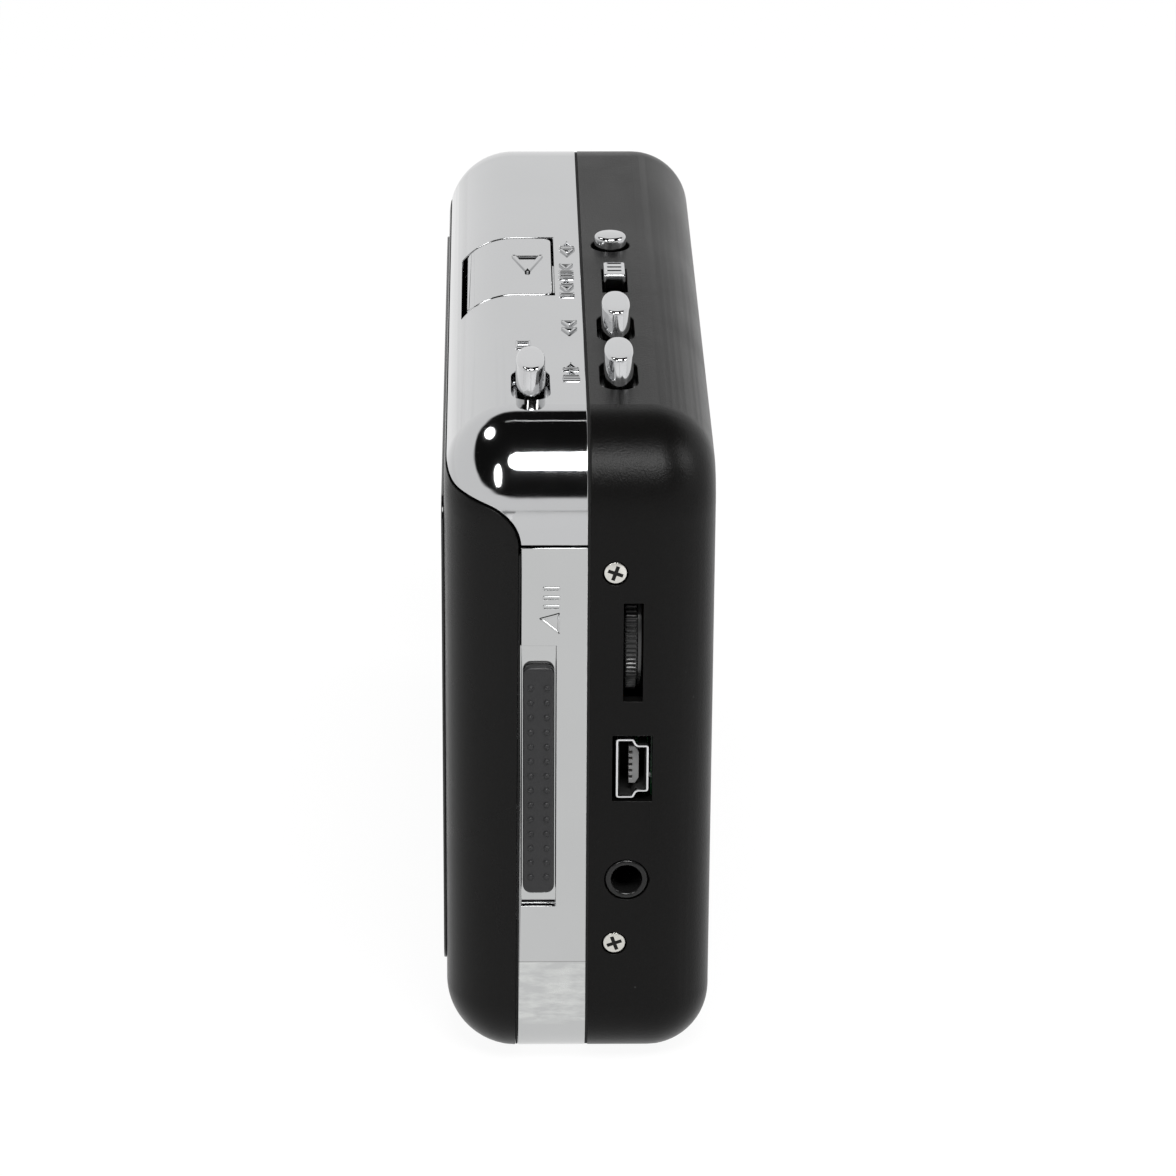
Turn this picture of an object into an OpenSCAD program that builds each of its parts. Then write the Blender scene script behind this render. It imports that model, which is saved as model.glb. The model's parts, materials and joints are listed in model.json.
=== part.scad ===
// Portable compact-cassette player with a side-hinged cassette door, standing on its long lower edge.
// Lengths are in millimetres. X runs along the width, Y from the door (-Y) to the back (+Y), Z is up.

/* [Case] */
// Room between the cassette and each end of the case
end_room = 5.8; // [5.5:0.1:8]
// Room between the two cells together and the ends of the case
cell_end_room = 11; // [10.5:0.1:14]
// Height of the cassette's lower edge above the foot of the case
foot_room = 7.1; // [6.8:0.1:9]
// Gap between the cassette and the deck
bay_gap = 1.2; // [1:0.1:2]
// Wall of the back shell and of the plated trim
wall = 1.6; // [1.4:0.1:1.8]
// Radius of the two upper corners
top_corner_r = 11; // [10:0.5:12]
// Radius of the two lower corners
bottom_corner_r = 8.6; // [8.5:0.1:10]
// Rounding of the front edges
front_edge_r = 8.4; // [8:0.1:8.4]
// Rounding of the back edges
back_edge_r = 7.5; // [6.5:0.1:8]
// Distance of the parting line behind the middle of the case
split_y = 1.15; // [1:0.05:1.3]
// Gap between neighbouring covers
seam = 0.3; // [0.2:0.05:0.4]
// Height of the top cap over the seam with the side band
cap_h = 13.3; // [13:0.1:13.5]

/* [Door] */
// Wall of the door
door_wall = 1.5; // [1.3:0.1:1.5]
// Thickness of the raised panel on the door
panel_t = 0.35; // [0.2:0.05:0.5]
// Radius of the hinge knuckles
knuckle_r = 1.6; // [1.5:0.05:1.7]
// Radius of the hinge pins
hinge_pin_r = 0.6; // [0.5:0.05:0.7]
// Width of the window
window_w = 66; // [50:1:70]
// Height of the window
window_h = 26; // [20:1:28]
// Thickness of the window
window_t = 1.2; // [1:0.1:1.3]

/* [Cassette] */
// Width of a compact cassette
cassette_w = 100.4; // [100.4:0.1:100.6]
// Height of a compact cassette
cassette_h = 63.8; // [63.8:0.1:64]
// Thickness of a compact cassette at its tape edge
cassette_t = 12; // [12:0.1:12.1]
// Distance between the reel axes
reel_pitch = 42.5; // [42.4:0.1:42.6]
// Distance of the reel axes from the tape edge
reel_to_edge = 34.9; // [34.5:0.1:35]
// Distance between the capstans
capstan_pitch = 47; // [46:0.5:48]
// Distance of the capstans from the tape edge
capstan_to_edge = 4.4; // [4:0.1:4.6]
// Room above the tape edge for the heads and keys
head_room = 11.1; // [11:0.1:11.5]

/* [Keys] */
// Height of the tall keys above the case
key_height = 3.5; // [2.5:0.1:4.5]
// Height of the direction key above the case
low_key_height = 1.6; // [1:0.1:2]
// Width of the tall keys
key_w = 3.6; // [3:0.1:4]
// Length of the tall keys
key_len = 8.6; // [7:0.1:9]
// Diameter of the direction key
round_key_d = 4; // [3.4:0.1:4.4]
// Gap between a key and its hole
key_gap = 0.45; // [0.35:0.05:0.5]
// Width of the play key
play_w = 20.5; // [16:0.5:21]

/* [Sockets] */
// Diameter of the headphone bore
jack_bore_d = 3.6; // [3.5:0.05:3.7]
// Outer diameter of the headphone sleeve
jack_sleeve_d = 5.1; // [4.9:0.05:5.2]
// Height of the data socket's shell
usb_h = 7.7; // [7.6:0.1:7.8]
// Depth of the data socket's shell across the case
usb_t = 3.9; // [3.8:0.1:4]

/* [Drive] */
// Diameter of a battery cell
cell_d = 14.2; // [13.9:0.05:14.2]
// Length of a battery cell
cell_len = 50.5; // [50:0.1:50.5]
// Thickness of the sliding battery cover
cover_t = 1.3; // [1.2:0.05:1.6]
// Radius of the flywheels
flywheel_r = 11; // [10:0.1:11]
// Radius of the motor
motor_r = 11; // [9:0.1:11]
// Radius of the capstan shafts
capstan_r = 1; // [0.9:0.05:1.1]
// Tooth module of the gears
gear_module = 0.6; // [0.6]
// Running clearance of a shaft in its hole
running = 0.05; // [0.03:0.01:0.08]

/* [Hidden] */
$fn = 64;
fit = 0.3;
deck_t = 0.9;
// The case is as wide, high and deep as the cassette, the deck and the cells need
case_w = max(cassette_w + 2 * end_room, 2 * cell_len + cell_end_room);
case_h = foot_room + cassette_h + head_room;
case_d = panel_t + door_wall + 0.15 + cassette_t + bay_gap + deck_t + cell_d + 0.4 + cover_t;
half_w = case_w / 2;
cap_seam_z = case_h - cap_h;
back_y = case_d / 2;
front_y = -case_d / 2 + panel_t;
door_in_y = front_y + door_wall;
cassette_y = door_in_y + 0.15;
deck_y = cassette_y + cassette_t + bay_gap;
deck_back_y = deck_y + deck_t;
tape_z = case_h - head_room;
cassette_z = foot_room;
reel_z = tape_z - reel_to_edge;
reel_x = reel_pitch / 2;
capstan_z = tape_z - capstan_to_edge;
capstan_x = capstan_pitch / 2;
bay_x = cassette_w / 2 + 1.2;

// Outline of the door seen along X: a shoulder and a fillet joined by a slope
door_edge_y = front_y + 8.65;
door_foot_y = door_edge_y - 0.4;
door_lip_y = front_y;
shoulder_r = 4.8;
fillet_r = 2.2;
slope = 14;
shoulder_y = door_edge_y - shoulder_r;
shoulder_z = cap_seam_z - 0.1;
fillet_y = door_lip_y + fillet_r;
fillet_z = shoulder_z + (shoulder_r + fillet_r) * cos(slope)
    + (shoulder_y + (shoulder_r + fillet_r) * sin(slope) - fillet_y) * tan(slope);

// Lower and upper edge of the door's raised panel
panel_z = [9.8, cap_seam_z + 1.9];

// Hinge axis, tangent inside the rounded left front edge
hinge_reach = (front_edge_r - knuckle_r) * sqrt(0.5);
hinge_x = -half_w + front_edge_r - hinge_reach;
hinge_y = front_y + front_edge_r - hinge_reach;
knuckle_low_z = 12;
knuckle_high_z = cap_seam_z - 5.7;
pocket_r = knuckle_r + 0.45;

// Keys and switches on the top
key_row_y = split_y + 3.75;
forward_x = half_w - 36.1;
rewind_x = half_w - 20.4;
stop_x = half_w - 17.4;
stop_y = split_y - 6.65;
direction_x = -9.6;
play_x = -2.05;
play_back_y = split_y - 3.75;
play_front_y = front_y + 2.55;
flange_t = 0.6;
key_under_z = case_h - wall - 0.3 - flange_t;
mode_x = 1.85;
mode_w = 4.7;
mode_travel = 3;

// Layers behind the deck: flywheels, their bridge and the circuit board
wheel_y = deck_back_y + 2.5;
wheel_t = 4.6;
bridge_y = wheel_y + wheel_t + 0.35;
board_y = bridge_y + 1.05;

// Batteries lie end to end along the lower back
cell_y = deck_back_y + 0.2 + cell_d / 2;
cell_z = back_edge_r + 0.5 + cell_d / 2;
cells_x = -half_w + wall + 3.5;
cells_end_x = cells_x + 2 * cell_len;
cover_end_x = half_w - 9.2;
cover_low_z = cell_z - cell_d / 2 - 0.15;
cover_high_z = cell_z + cell_d / 2 + 0.15;

// Right end: door slider, volume wheel and sockets
slider_y = split_y - 5.8;
slider_w = 3.7;
slider_z = 0.2927 * case_h;
slider_len = 0.36 * case_h;
slider_travel = 2.4;
pad_depth = 0.7;
stem_w = 2;
stem_z = [slider_z + 4.2, slider_z + slider_len - 4.2];
slot_z = [slider_z - 1.75, slider_z + slider_len + slider_travel + 0.25];
socket_y = board_y - 2.25;
socket_z = 0.4915 * case_h;
jack_y = board_y - 2.8;
jack_z = cover_high_z + 3.35;
jack_len = 14;
volume_y = board_y - 2.25;
volume_z = 0.6738 * case_h;
volume_t = 2;
volume_r = 7.2;
volume_x = half_w - 0.1 - volume_r;
board_t = 1.2;
// End of the case, Y and Z of each side screw; the left end's lower one clears the battery spring
side_screws_at = [[1, split_y + 3.05, case_h - 16.7], [-1, split_y + 3.05, case_h - 16.7],
    [1, split_y + 3.25, 17.2], [-1, split_y + 3.25, 28]];
// Hook of the door and the latch bar that holds it
hook_x = half_w - wall - 1.5;
hook_z = slider_z + 14;
bar_low_z = slider_z - 4.5;
bar_high_z = slider_z + slider_len + 2.9;
spring_stop_z = cap_seam_z - 5.2;

// Drive behind the deck
belt_y = wheel_y + wheel_t / 2;
belt_t = 0.9;
groove_r = flywheel_r - 0.6;
pulley_r = 2.6;
motor_x = -half_w + back_edge_r - 1.6 + motor_r;
motor_z = reel_z + 9;
motor_y = wheel_y + wheel_t - 0.6;
gear_y = deck_back_y + 0.4;
gear_t = 1.7;
pinion_teeth = 12;
idler_teeth = 32;
takeup_teeth = 30;
pinion_r = pinion_teeth * gear_module / 2;
idler_r = idler_teeth * gear_module / 2;
takeup_r = takeup_teeth * gear_module / 2;
// The idler meshes with the right flywheel's pinion and with the take-up gear
train_dx = capstan_x - reel_x;
train_dz = capstan_z - reel_z;
train_len = sqrt(train_dx * train_dx + train_dz * train_dz);
idler_down = (pow(pinion_r + idler_r, 2) - pow(takeup_r + idler_r, 2) + train_len * train_len)
    / (2 * train_len);
idler_side = sqrt(pow(pinion_r + idler_r, 2) - idler_down * idler_down);
idler_x = capstan_x - (train_dx * idler_down + train_dz * idler_side) / train_len;
idler_z = capstan_z - (train_dz * idler_down - train_dx * idler_side) / train_len;
// Directions between the meshing gears, seen along Y
mesh_angle = atan2(capstan_z - idler_z, capstan_x - idler_x);
reel_angle = atan2(reel_z - idler_z, reel_x - idler_x);
belt_low = [motor_x, motor_z];
belt_left = [-capstan_x, capstan_z];
belt_right = [capstan_x, capstan_z];

// Head plate above the tape edge
plate_t = 0.8;
plate_y = deck_y - fit - plate_t;
plate_z = tape_z + 1.6;
plate_top_z = case_h - 3;
plate_half_w = capstan_x + 9;
roller_r = 4;
play_travel = 3.4;
roller_z = capstan_z + capstan_r + roller_r + 0.2 + play_travel;
roller_len = 6;
tape_y = cassette_y + cassette_t / 2;

// A block between two values along each axis
module block(x, y, z) {
    translate([x[0], y[0], z[0]]) cube([x[1] - x[0], y[1] - y[0], z[1] - z[0]]);
}

// Drawings extruded between two values along an axis: (Y, Z) along X and (X, Z) along Y
module along_x(x) {
    translate([x[0], 0, 0]) rotate([90, 0, 90]) linear_extrude(x[1] - x[0]) children();
}
module along_y(y) {
    translate([0, y[1], 0]) rotate([90, 0, 0]) linear_extrude(y[1] - y[0]) children();
}

// A shaft along X or Y
module rod_x(x, y, z, r) {
    translate([x[0], y, z]) rotate([0, 90, 0]) cylinder(r = r, h = x[1] - x[0]);
}
module rod_y(x, y, z, r) {
    translate([x, y[0], z]) rotate([-90, 0, 0]) cylinder(r = r, h = y[1] - y[0]);
}

module rounded_rect(w, h, r) {
    square([w, h - 2 * r], center = true);
    square([w - 2 * r, h], center = true);
    for (x = [-1, 1], y = [-1, 1]) translate([x * (w / 2 - r), y * (h / 2 - r)]) circle(r);
}

module stadium(len, w) {
    square([len - w, w], center = true);
    for (x = [-1, 1]) translate([x * (len - w) / 2, 0]) circle(w / 2);
}

// Cross-section of the case's rim: reach outwards, depth from front to back
module edge_profile(reach, inset) {
    f = front_edge_r - inset;
    b = back_edge_r - inset;
    low = front_y + inset;
    high = back_y - inset;
    intersection() {
        union() {
            translate([0, low]) square([reach - f, high - low]);
            translate([0, low + f]) square([reach - b, high - low - f]);
            translate([0, low + f]) square([reach, high - low - f - b]);
            translate([reach - f, low + f]) circle(f);
            translate([reach - b, high - b]) circle(b);
        }
        translate([0, low]) square([reach, high - low]);
    }
}

// A quarter of the rim swept round a corner of the case; turn 0 is the lower right one
module corner(x, z, reach, turn, inset) {
    translate([x, 0, z]) rotate([-90, 0, 0]) rotate([0, 0, turn])
        rotate_extrude(angle = 90) edge_profile(reach, inset);
}

// The whole case as a solid, drawn in by an inset
module case_solid(inset) {
    x = half_w - inset;
    high = case_h - inset;
    rt = top_corner_r - inset;
    rb = bottom_corner_r - inset;
    translate([0, 0, inset + rb]) linear_extrude(high - inset - rt - rb) {
        edge_profile(x, inset);
        mirror([1, 0]) edge_profile(x, inset);
    }
    translate([0, 0, high - rt]) rotate([0, -90, 0])
        linear_extrude(2 * (x - rt), center = true) edge_profile(rt, inset);
    translate([0, 0, inset + rb]) rotate([0, 90, 0])
        linear_extrude(2 * (x - rb), center = true) edge_profile(rb, inset);
    corner(x - rb, inset + rb, rb, 0, inset);
    corner(-x + rb, inset + rb, rb, 90, inset);
    corner(-x + rt, high - rt, rt, 180, inset);
    corner(x - rt, high - rt, rt, 270, inset);
}

// The part of the (Y, Z) plane that belongs to the door, let out by a margin
module door_zone(grow) {
    sr = shoulder_r + grow;
    fr = fillet_r - grow;
    polygon([[front_y - 2, -1], [door_foot_y + grow, -1], [door_edge_y + grow, shoulder_z],
        [shoulder_y, shoulder_z], [shoulder_y + sr * sin(slope), shoulder_z + sr * cos(slope)],
        [fillet_y - fr * sin(slope), fillet_z - fr * cos(slope)], [fillet_y, fillet_z],
        [door_lip_y + grow, fillet_z], [door_lip_y + grow, case_h + 1], [front_y - 2, case_h + 1]]);
    translate([shoulder_y, shoulder_z]) circle(sr);
}

// The same with the fillet's round cut out
module door_shape(grow) {
    difference() {
        door_zone(grow);
        translate([fillet_y, fillet_z]) circle(fillet_r - grow);
    }
}

// Everything on the door's side of the radial plane through the hinge axis
module right_of_hinge(margin) {
    translate([hinge_x, hinge_y, -1]) rotate([0, 0, -45])
        translate([-margin, -case_w, 0]) cube([2 * case_w, 2 * case_w, case_h + 2]);
}

module knuckle(z, r) {
    translate([hinge_x, hinge_y, z[0]]) cylinder(r = r, h = z[1] - z[0]);
}

// The plated front of the case before its openings: a shell with the door's place cut out
module plated_front() {
    difference() {
        case_solid(0);
        case_solid(wall);
        block([-case_w, case_w], [split_y - seam / 2, back_y + 1], [-1, case_h + 1]);
        intersection() {
            along_x([-half_w - 1, half_w + 1]) door_shape(seam);
            right_of_hinge(seam);
        }
        knuckle([knuckle_low_z - seam, knuckle_high_z + seam], pocket_r);
    }
}

// Two round pin holes, one at each end of the door's barrel
module hinge_holes(r) {
    knuckle([knuckle_low_z - 4, knuckle_low_z + 5], r);
    knuckle([knuckle_high_z - 5, knuckle_high_z + 4], r);
}

module back_shell() {
    color("#1d1d1f") difference() {
        union() {
            difference() {
                case_solid(0);
                case_solid(wall);
                block([-case_w, case_w], [front_y - 1, split_y + seam / 2], [-1, case_h + 1]);
            }
            closing_lip();
        }
        // keys and the mode switch along the top
        for (x = [forward_x, rewind_x]) translate([x, key_row_y, case_h - 4])
            linear_extrude(6) stadium(key_len + 2 * key_gap, key_w + 2 * key_gap);
        translate([direction_x, key_row_y, case_h - 4]) cylinder(d = round_key_d + 2 * key_gap, h = 6);
        translate([mode_x + mode_travel / 2, key_row_y + 0.25, case_h - 4])
            linear_extrude(6) square([mode_w + mode_travel + 2 * fit, 3.1], center = true);
        // volume wheel, data socket and headphone sleeve in the right end
        block([half_w - wall - 1, half_w + 1], [volume_y - 1.15, volume_y + 1.15], [volume_z - 6.25, volume_z + 6.25]);
        block([half_w - wall - 1, half_w + 1], [socket_y - usb_t / 2 - 0.4, socket_y + usb_t / 2 + 0.4],
            [socket_z - usb_h / 2 - 0.4, socket_z + usb_h / 2 + 0.4]);
        rod_x([half_w - wall - 1, half_w + 1], jack_y, jack_z, jack_sleeve_d / 2 + 0.1);
        side_screw_places() {
            rod_x([-wall - 0.5, 1], 0, 0, 0.85);
            rod_x([-0.8, 1], 0, 0, 1.5);
        }
        back_screw_places() {
            rod_y(0, [-wall - 0.5, 1], 0, 0.85);
            rod_y(0, [-0.9, 1], 0, 1.8);
        }
        // bed of the cells and the opening under the sliding cover
        rod_x([cells_x - 0.5, cells_end_x + 0.5], cell_y, cell_z, cell_d / 2 + 0.2);
        block([-half_w - 1, cover_end_x + 0.2], [back_y - back_edge_r, back_y + 1],
            [cover_low_z - 0.2, cover_high_z + 0.2]);
    }
}

// Lip of the back shell that reaches inside the plated front and closes the parting line
module closing_lip() {
    intersection() {
        difference() {
            case_solid(wall + 0.1);
            case_solid(wall + 0.7);
        }
        block([-case_w, case_w], [deck_back_y + 0.2, split_y + 0.7], [-1, case_h + 1]);
    }
    intersection() {
        difference() {
            case_solid(wall - 0.1);
            case_solid(wall + 0.7);
        }
        block([-case_w, case_w], [split_y + seam / 2, split_y + 0.7], [-1, case_h + 1]);
    }
}

// Where the side screws enter: the origin lies on the end face, +X outwards
module side_screw_places() {
    for (at = side_screws_at)
        translate([at[0] * half_w, at[1], at[2]]) mirror([at[0] < 0 ? 1 : 0, 0, 0]) children();
}

module back_screw_places() {
    for (x = [-1, 1]) translate([x * (half_w - 15), back_y, case_h - 8.5]) children();
}

module top_cap() {
    color("#c9cbce") {
        difference() {
            plated_front();
            block([-case_w, case_w], [front_y - 1, back_y], [-1, cap_seam_z + seam / 2]);
            play_opening();
            translate([stop_x, stop_y, case_h - 4]) linear_extrude(6)
                stadium(key_len + 2 * key_gap + 0.6, key_w + 2 * key_gap);
        }
    }
}

module play_opening() {
    block([play_x - play_w / 2 - fit, play_x + play_w / 2 + fit], [play_front_y - 0.7, play_back_y + fit],
        [tape_z + 4, case_h + 1]);
}

module side_band() {
    color("#c9cbce") difference() {
        union() {
            difference() {
                plated_front();
                block([-case_w, case_w], [front_y - 1, back_y], [cap_seam_z - seam / 2, case_h + 1]);
            }
            // fixed knuckles above and below the door's barrel
            intersection() {
                case_solid(0);
                union() {
                    knuckle([knuckle_low_z - 4.5, knuckle_low_z - seam], knuckle_r);
                    knuckle([knuckle_high_z + seam, cap_seam_z - seam / 2], knuckle_r);
                }
            }
            // stop for the latch spring
            block([half_w - wall - 1.9, half_w - wall + 0.5], [slider_y - 1.5, deck_y - 0.15],
                [spring_stop_z, spring_stop_z + 1.5]);
        }
        hinge_holes(hinge_pin_r);
        // tray that the slider's pad runs in, and the slot for its stem
        block([half_w - pad_depth - 0.2, half_w + 1],
            [slider_y - slider_w / 2 - 0.2, slider_y + slider_w / 2 + 0.2], slot_z);
        block([half_w - wall - 1, half_w], [slider_y - stem_w / 2 - 0.2, slider_y + stem_w / 2 + 0.2],
            [stem_z[0] - 0.3, stem_z[1] + slider_travel + 0.3]);
    }
}

module bay_frame() {
    depth = [hinge_y + pocket_r + 0.5, deck_y];
    color("#2b2b2d") intersection() {
        difference() {
            block([-bay_x - 1, bay_x + 1], depth, [cassette_z - 2.4, tape_z - 1]);
            block([-bay_x, bay_x], [depth[0] - 1, depth[1] + 1], [cassette_z - 1.6, tape_z]);
        }
        case_solid(wall + 0.2);
    }
}

module deck_plate() {
    color("#b9bcbf") difference() {
        union() {
            intersection() {
                case_solid(wall + fit);
                block([-half_w, half_w], [deck_y, deck_back_y], [0, case_h]);
            }
            // posts that take the back screws
            back_screw_places() rod_y(0, [deck_back_y - back_y - 0.1, -wall - 0.4], 0, 2.2);
            rod_y(idler_x, [deck_back_y, gear_y + gear_t + 0.2], idler_z, 1);
            // ears that take the side screws
            side_screw_places() block([-wall - 2, -wall - 0.8], [deck_back_y - split_y - 3.3, 1.8], [-2.2, 2.2]);
        }
        for (x = [-1, 1]) {
            rod_y(x * reel_x, [deck_y - 1, deck_back_y + 1], reel_z, 1.5 + running);
            rod_y(x * capstan_x, [deck_y - 1, deck_back_y + 1], capstan_z, 2.5);
        }
        side_screw_places() rod_x([-wall - 3, 1], 0, 0, 0.8);
        back_screw_places() rod_y(0, [-10, 0], 0, 0.8);
    }
}

// The shell that holds the door's share of the case
module door_shell() {
    color("#1b1b1d") difference() {
        union() {
            difference() {
                intersection() {
                    case_solid(0);
                    along_x([-half_w - 1, half_w + 1]) door_shape(0);
                    right_of_hinge(0);
                }
                case_solid(door_wall);
                knuckle([-1, knuckle_low_z], knuckle_r + fit);
                knuckle([knuckle_high_z, case_h + 1], knuckle_r + fit);
            }
            knuckle([knuckle_low_z, knuckle_high_z], knuckle_r);
            door_hook();
        }
        hinge_holes(hinge_pin_r + running);
        along_y([front_y - 1, door_in_y + 1]) translate([0, reel_z]) rounded_rect(window_w, window_h, 4);
    }
}

// Hook of the door: an arm with an upturned nose that rests behind the latch bar's catch
module door_hook() {
    block([hook_x, hook_x + 1.1], [front_y + 5.5, front_y + 9.6], [hook_z, hook_z + 3]);
    block([hook_x, half_w - door_wall + 0.2], [front_y + 5.5, front_y + 8], [hook_z, hook_z + 3]);
    block([hook_x, hook_x + 1.1], [front_y + 8.2, front_y + 9.6], [hook_z + 3, hook_z + 4.8]);
}

module door_panel() {
    color("#161617") difference() {
        along_y([front_y - panel_t, front_y]) translate([0, (panel_z[0] + panel_z[1]) / 2])
            rounded_rect(case_w - 2 * front_edge_r, panel_z[1] - panel_z[0], 3);
        along_y([-case_d, door_in_y]) translate([0, reel_z]) rounded_rect(window_w, window_h, 4);
    }
}

module door_window() {
    color("#3a3d42") {
        along_y([front_y - 0.25, front_y - 0.25 + window_t]) translate([0, reel_z])
            rounded_rect(window_w - 0.2, window_h - 0.2, 3.9);
        along_y([front_y - 0.25 + window_t, door_in_y]) translate([0, reel_z])
            rounded_rect(window_w - 0.2, window_h - 0.2, 3.9);
        along_y([door_in_y, door_in_y + 0.4]) translate([0, reel_z])
            rounded_rect(window_w + 2, window_h + 2, 4.9);
    }
}

// Rails on the door that hold the cassette by its lower edge and upper corners
module cassette_guides() {
    rail = 1;
    lip_y = deck_y - 2.8;
    color("#232325") intersection() {
        case_solid(door_wall);
        union() {
            block([-half_w + 9, half_w - 9], [front_y, lip_y + 0.8], [cassette_z - 0.3 - rail, cassette_z - 0.3]);
            block([-half_w + 9, half_w - 9], [lip_y, lip_y + 0.8], [cassette_z - 0.3, cassette_z + 2]);
            for (side = [-1, 1]) translate([side * (half_w - 14), 0, 0]) {
                block([-5, 5], [front_y, lip_y + 0.8], [tape_z + 0.3, tape_z + 0.3 + rail]);
                block([-5, 5], [lip_y, lip_y + 0.8], [tape_z - 2, tape_z + 0.3]);
            }
        }
    }
}

// Leaf springs that press the cassette's thin half back
module cassette_springs() {
    color("#c2b48a") for (side = [-1, 1]) translate([side * 22, door_in_y, cassette_z + 5])
        linear_extrude(5) polygon([[-9, 0], [-6, 0], [-1.5, 1.2], [1.5, 1.2], [6, 0], [9, 0], [9, 0.3],
            [6.1, 0.3], [1.6, 1.5], [-1.6, 1.5], [-6.1, 0.3], [-9, 0.3]]);
}

module hinge_pins() {
    color("#d8d8d8") hinge_holes(hinge_pin_r);
}

module open_slider() {
    rows = 14;
    row_step = (slider_len - 4.9) / (rows - 1);
    color("#3c3d3f") {
        block([half_w - pad_depth, half_w + 0.4], [slider_y - slider_w / 2, slider_y + slider_w / 2],
            [slider_z, slider_z + slider_len]);
        block([half_w - wall - 0.3, half_w - pad_depth + 0.1],
            [slider_y - stem_w / 2, slider_y + stem_w / 2], stem_z);
        for (row = [0:rows - 1], side = [-1, 1])
            translate([half_w + 0.4, slider_y + side * 0.94, slider_z + 2.3 + row_step * row])
                rotate([0, 90, 0]) cylinder(r = 0.35, h = 0.15, $fn = 16);
    }
}

module latch_bar() {
    bar_x = [half_w - wall - 1.7, half_w - wall - 0.3];
    cut_x = [bar_x[0] - 1, bar_x[1] + 1];
    cut_low_z = hook_z - 0.4 - slider_travel;
    color("#8d9093") difference() {
        block(bar_x, [front_y + 6.6, deck_y - 0.65], [bar_low_z, bar_high_z]);
        block(cut_x, [front_y + 7.9, front_y + 9.9], [cut_low_z, hook_z + 5.2]);
        block(cut_x, [front_y + 5, front_y + 8], [cut_low_z, hook_z + 3.3]);
    }
}

// One spring wire swept along a helix that stands on Z
module helix(r, wire, pitch, turns, steps, sides) {
    count = turns * steps;
    ring = function (i) [for (s = [0:sides - 1])
        let (a = 360 * i / steps, b = 360 * s / sides, d = r + wire * cos(b))
        [d * cos(a), d * sin(a), pitch * i / steps + wire * sin(b)]];
    points = [for (i = [0:count]) each ring(i)];
    walls = [for (i = [0:count - 1], s = [0:sides - 1])
        let (a = i * sides + s, b = i * sides + (s + 1) % sides)
        each [[a, b, b + sides], [a, b + sides, a + sides]]];
    first = [for (s = [sides - 1:-1:0]) s];
    last = [for (s = [0:sides - 1]) count * sides + s];
    polyhedron(points = points, faces = concat([first], walls, [last]), convexity = 10);
}

module latch_spring() {
    wire = 0.13;
    turns = 6;
    length = spring_stop_z - bar_high_z - 2 * wire - 0.04;
    color("#cfd2d4") translate([half_w - wall - 1, deck_y - 2.25, bar_high_z + wire + 0.02])
        helix(0.55, wire, length / turns, turns, 12, 6);
}

module play_key() {
    color("#c9cbce") {
        difference() {
            intersection() {
                case_solid(0);
                translate([play_x, (play_front_y + play_back_y) / 2, tape_z])
                    linear_extrude(20) rounded_rect(play_w, play_back_y - play_front_y, 1.2);
            }
            case_solid(wall + 0.6);
        }
        // tab that bears on the head plate
        block([play_x - 5, play_x + 5], [play_back_y - 1.6, plate_y + plate_t],
            [plate_top_z + 0.2, case_h - wall - 0.2]);
    }
}

// A tall oval key with a retaining flange under the wall
module tall_key(x, y) {
    translate([x, y, key_under_z]) {
        linear_extrude(case_h + key_height - key_under_z) stadium(key_len, key_w);
        linear_extrude(flange_t) stadium(key_len + 2.4, key_w + 1.8);
    }
}

module stop_key() { color("#d2d4d6") tall_key(stop_x, stop_y); }
module fast_forward_key() { color("#d2d4d6") tall_key(forward_x, key_row_y); }
module rewind_key() { color("#d2d4d6") tall_key(rewind_x, key_row_y); }

module direction_key() {
    color("#d2d4d6") translate([direction_x, key_row_y, key_under_z]) {
        cylinder(d = round_key_d, h = case_h + low_key_height - key_under_z);
        cylinder(d = round_key_d + 1.8, h = flange_t);
    }
}

module mode_knob() {
    color("#cfd1d3") translate([mode_x, key_row_y + 0.25, 0]) {
        block([-mode_w / 2, mode_w / 2], [-1.35, 1.35], [case_h - 2.6, case_h + 0.9]);
        for (i = [0:3]) block([-mode_w / 2 + 0.5 + i, -mode_w / 2 + 1.2 + i], [-1.2, 1.2],
            [case_h + 0.9, case_h + 1.1]);
    }
}

module mode_switch() {
    color("#9a9da0") block([mode_x - 5, mode_x + mode_travel + 5], [key_row_y - 1.6, board_y],
        [case_h - 6.6, case_h - 2.9]);
}

module volume_wheel() {
    color("#202022") translate([volume_x, volume_y, volume_z]) rotate([90, 0, 0]) difference() {
        union() {
            cylinder(r = volume_r - 0.35, h = volume_t, center = true);
            for (a = [0:12:359]) rotate(a) translate([volume_r - 0.6, 0, 0]) cube([1.2, 0.7, volume_t], center = true);
        }
        cylinder(r = 2 + running, h = volume_t + 1, center = true);
    }
}

module volume_pot() {
    color("#77706a") {
        rod_y(volume_x, [volume_y - volume_t / 2 - 0.3, volume_y + volume_t / 2 + 0.3], volume_z, 2);
        rod_y(volume_x, [volume_y + volume_t / 2 + 0.2, board_y], volume_z, 4.6);
    }
}

// Outline of the data socket: a box that narrows on the board's side
module usb_outline(w, t) {
    polygon([[-t / 2, -w / 2], [t / 2 - 1.8, -w / 2], [t / 2 - 1.4, -w / 2 + 0.8], [t / 2, -w / 2 + 0.8],
        [t / 2, w / 2 - 0.8], [t / 2 - 1.4, w / 2 - 0.8], [t / 2 - 1.8, w / 2], [-t / 2, w / 2]]);
}

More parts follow.
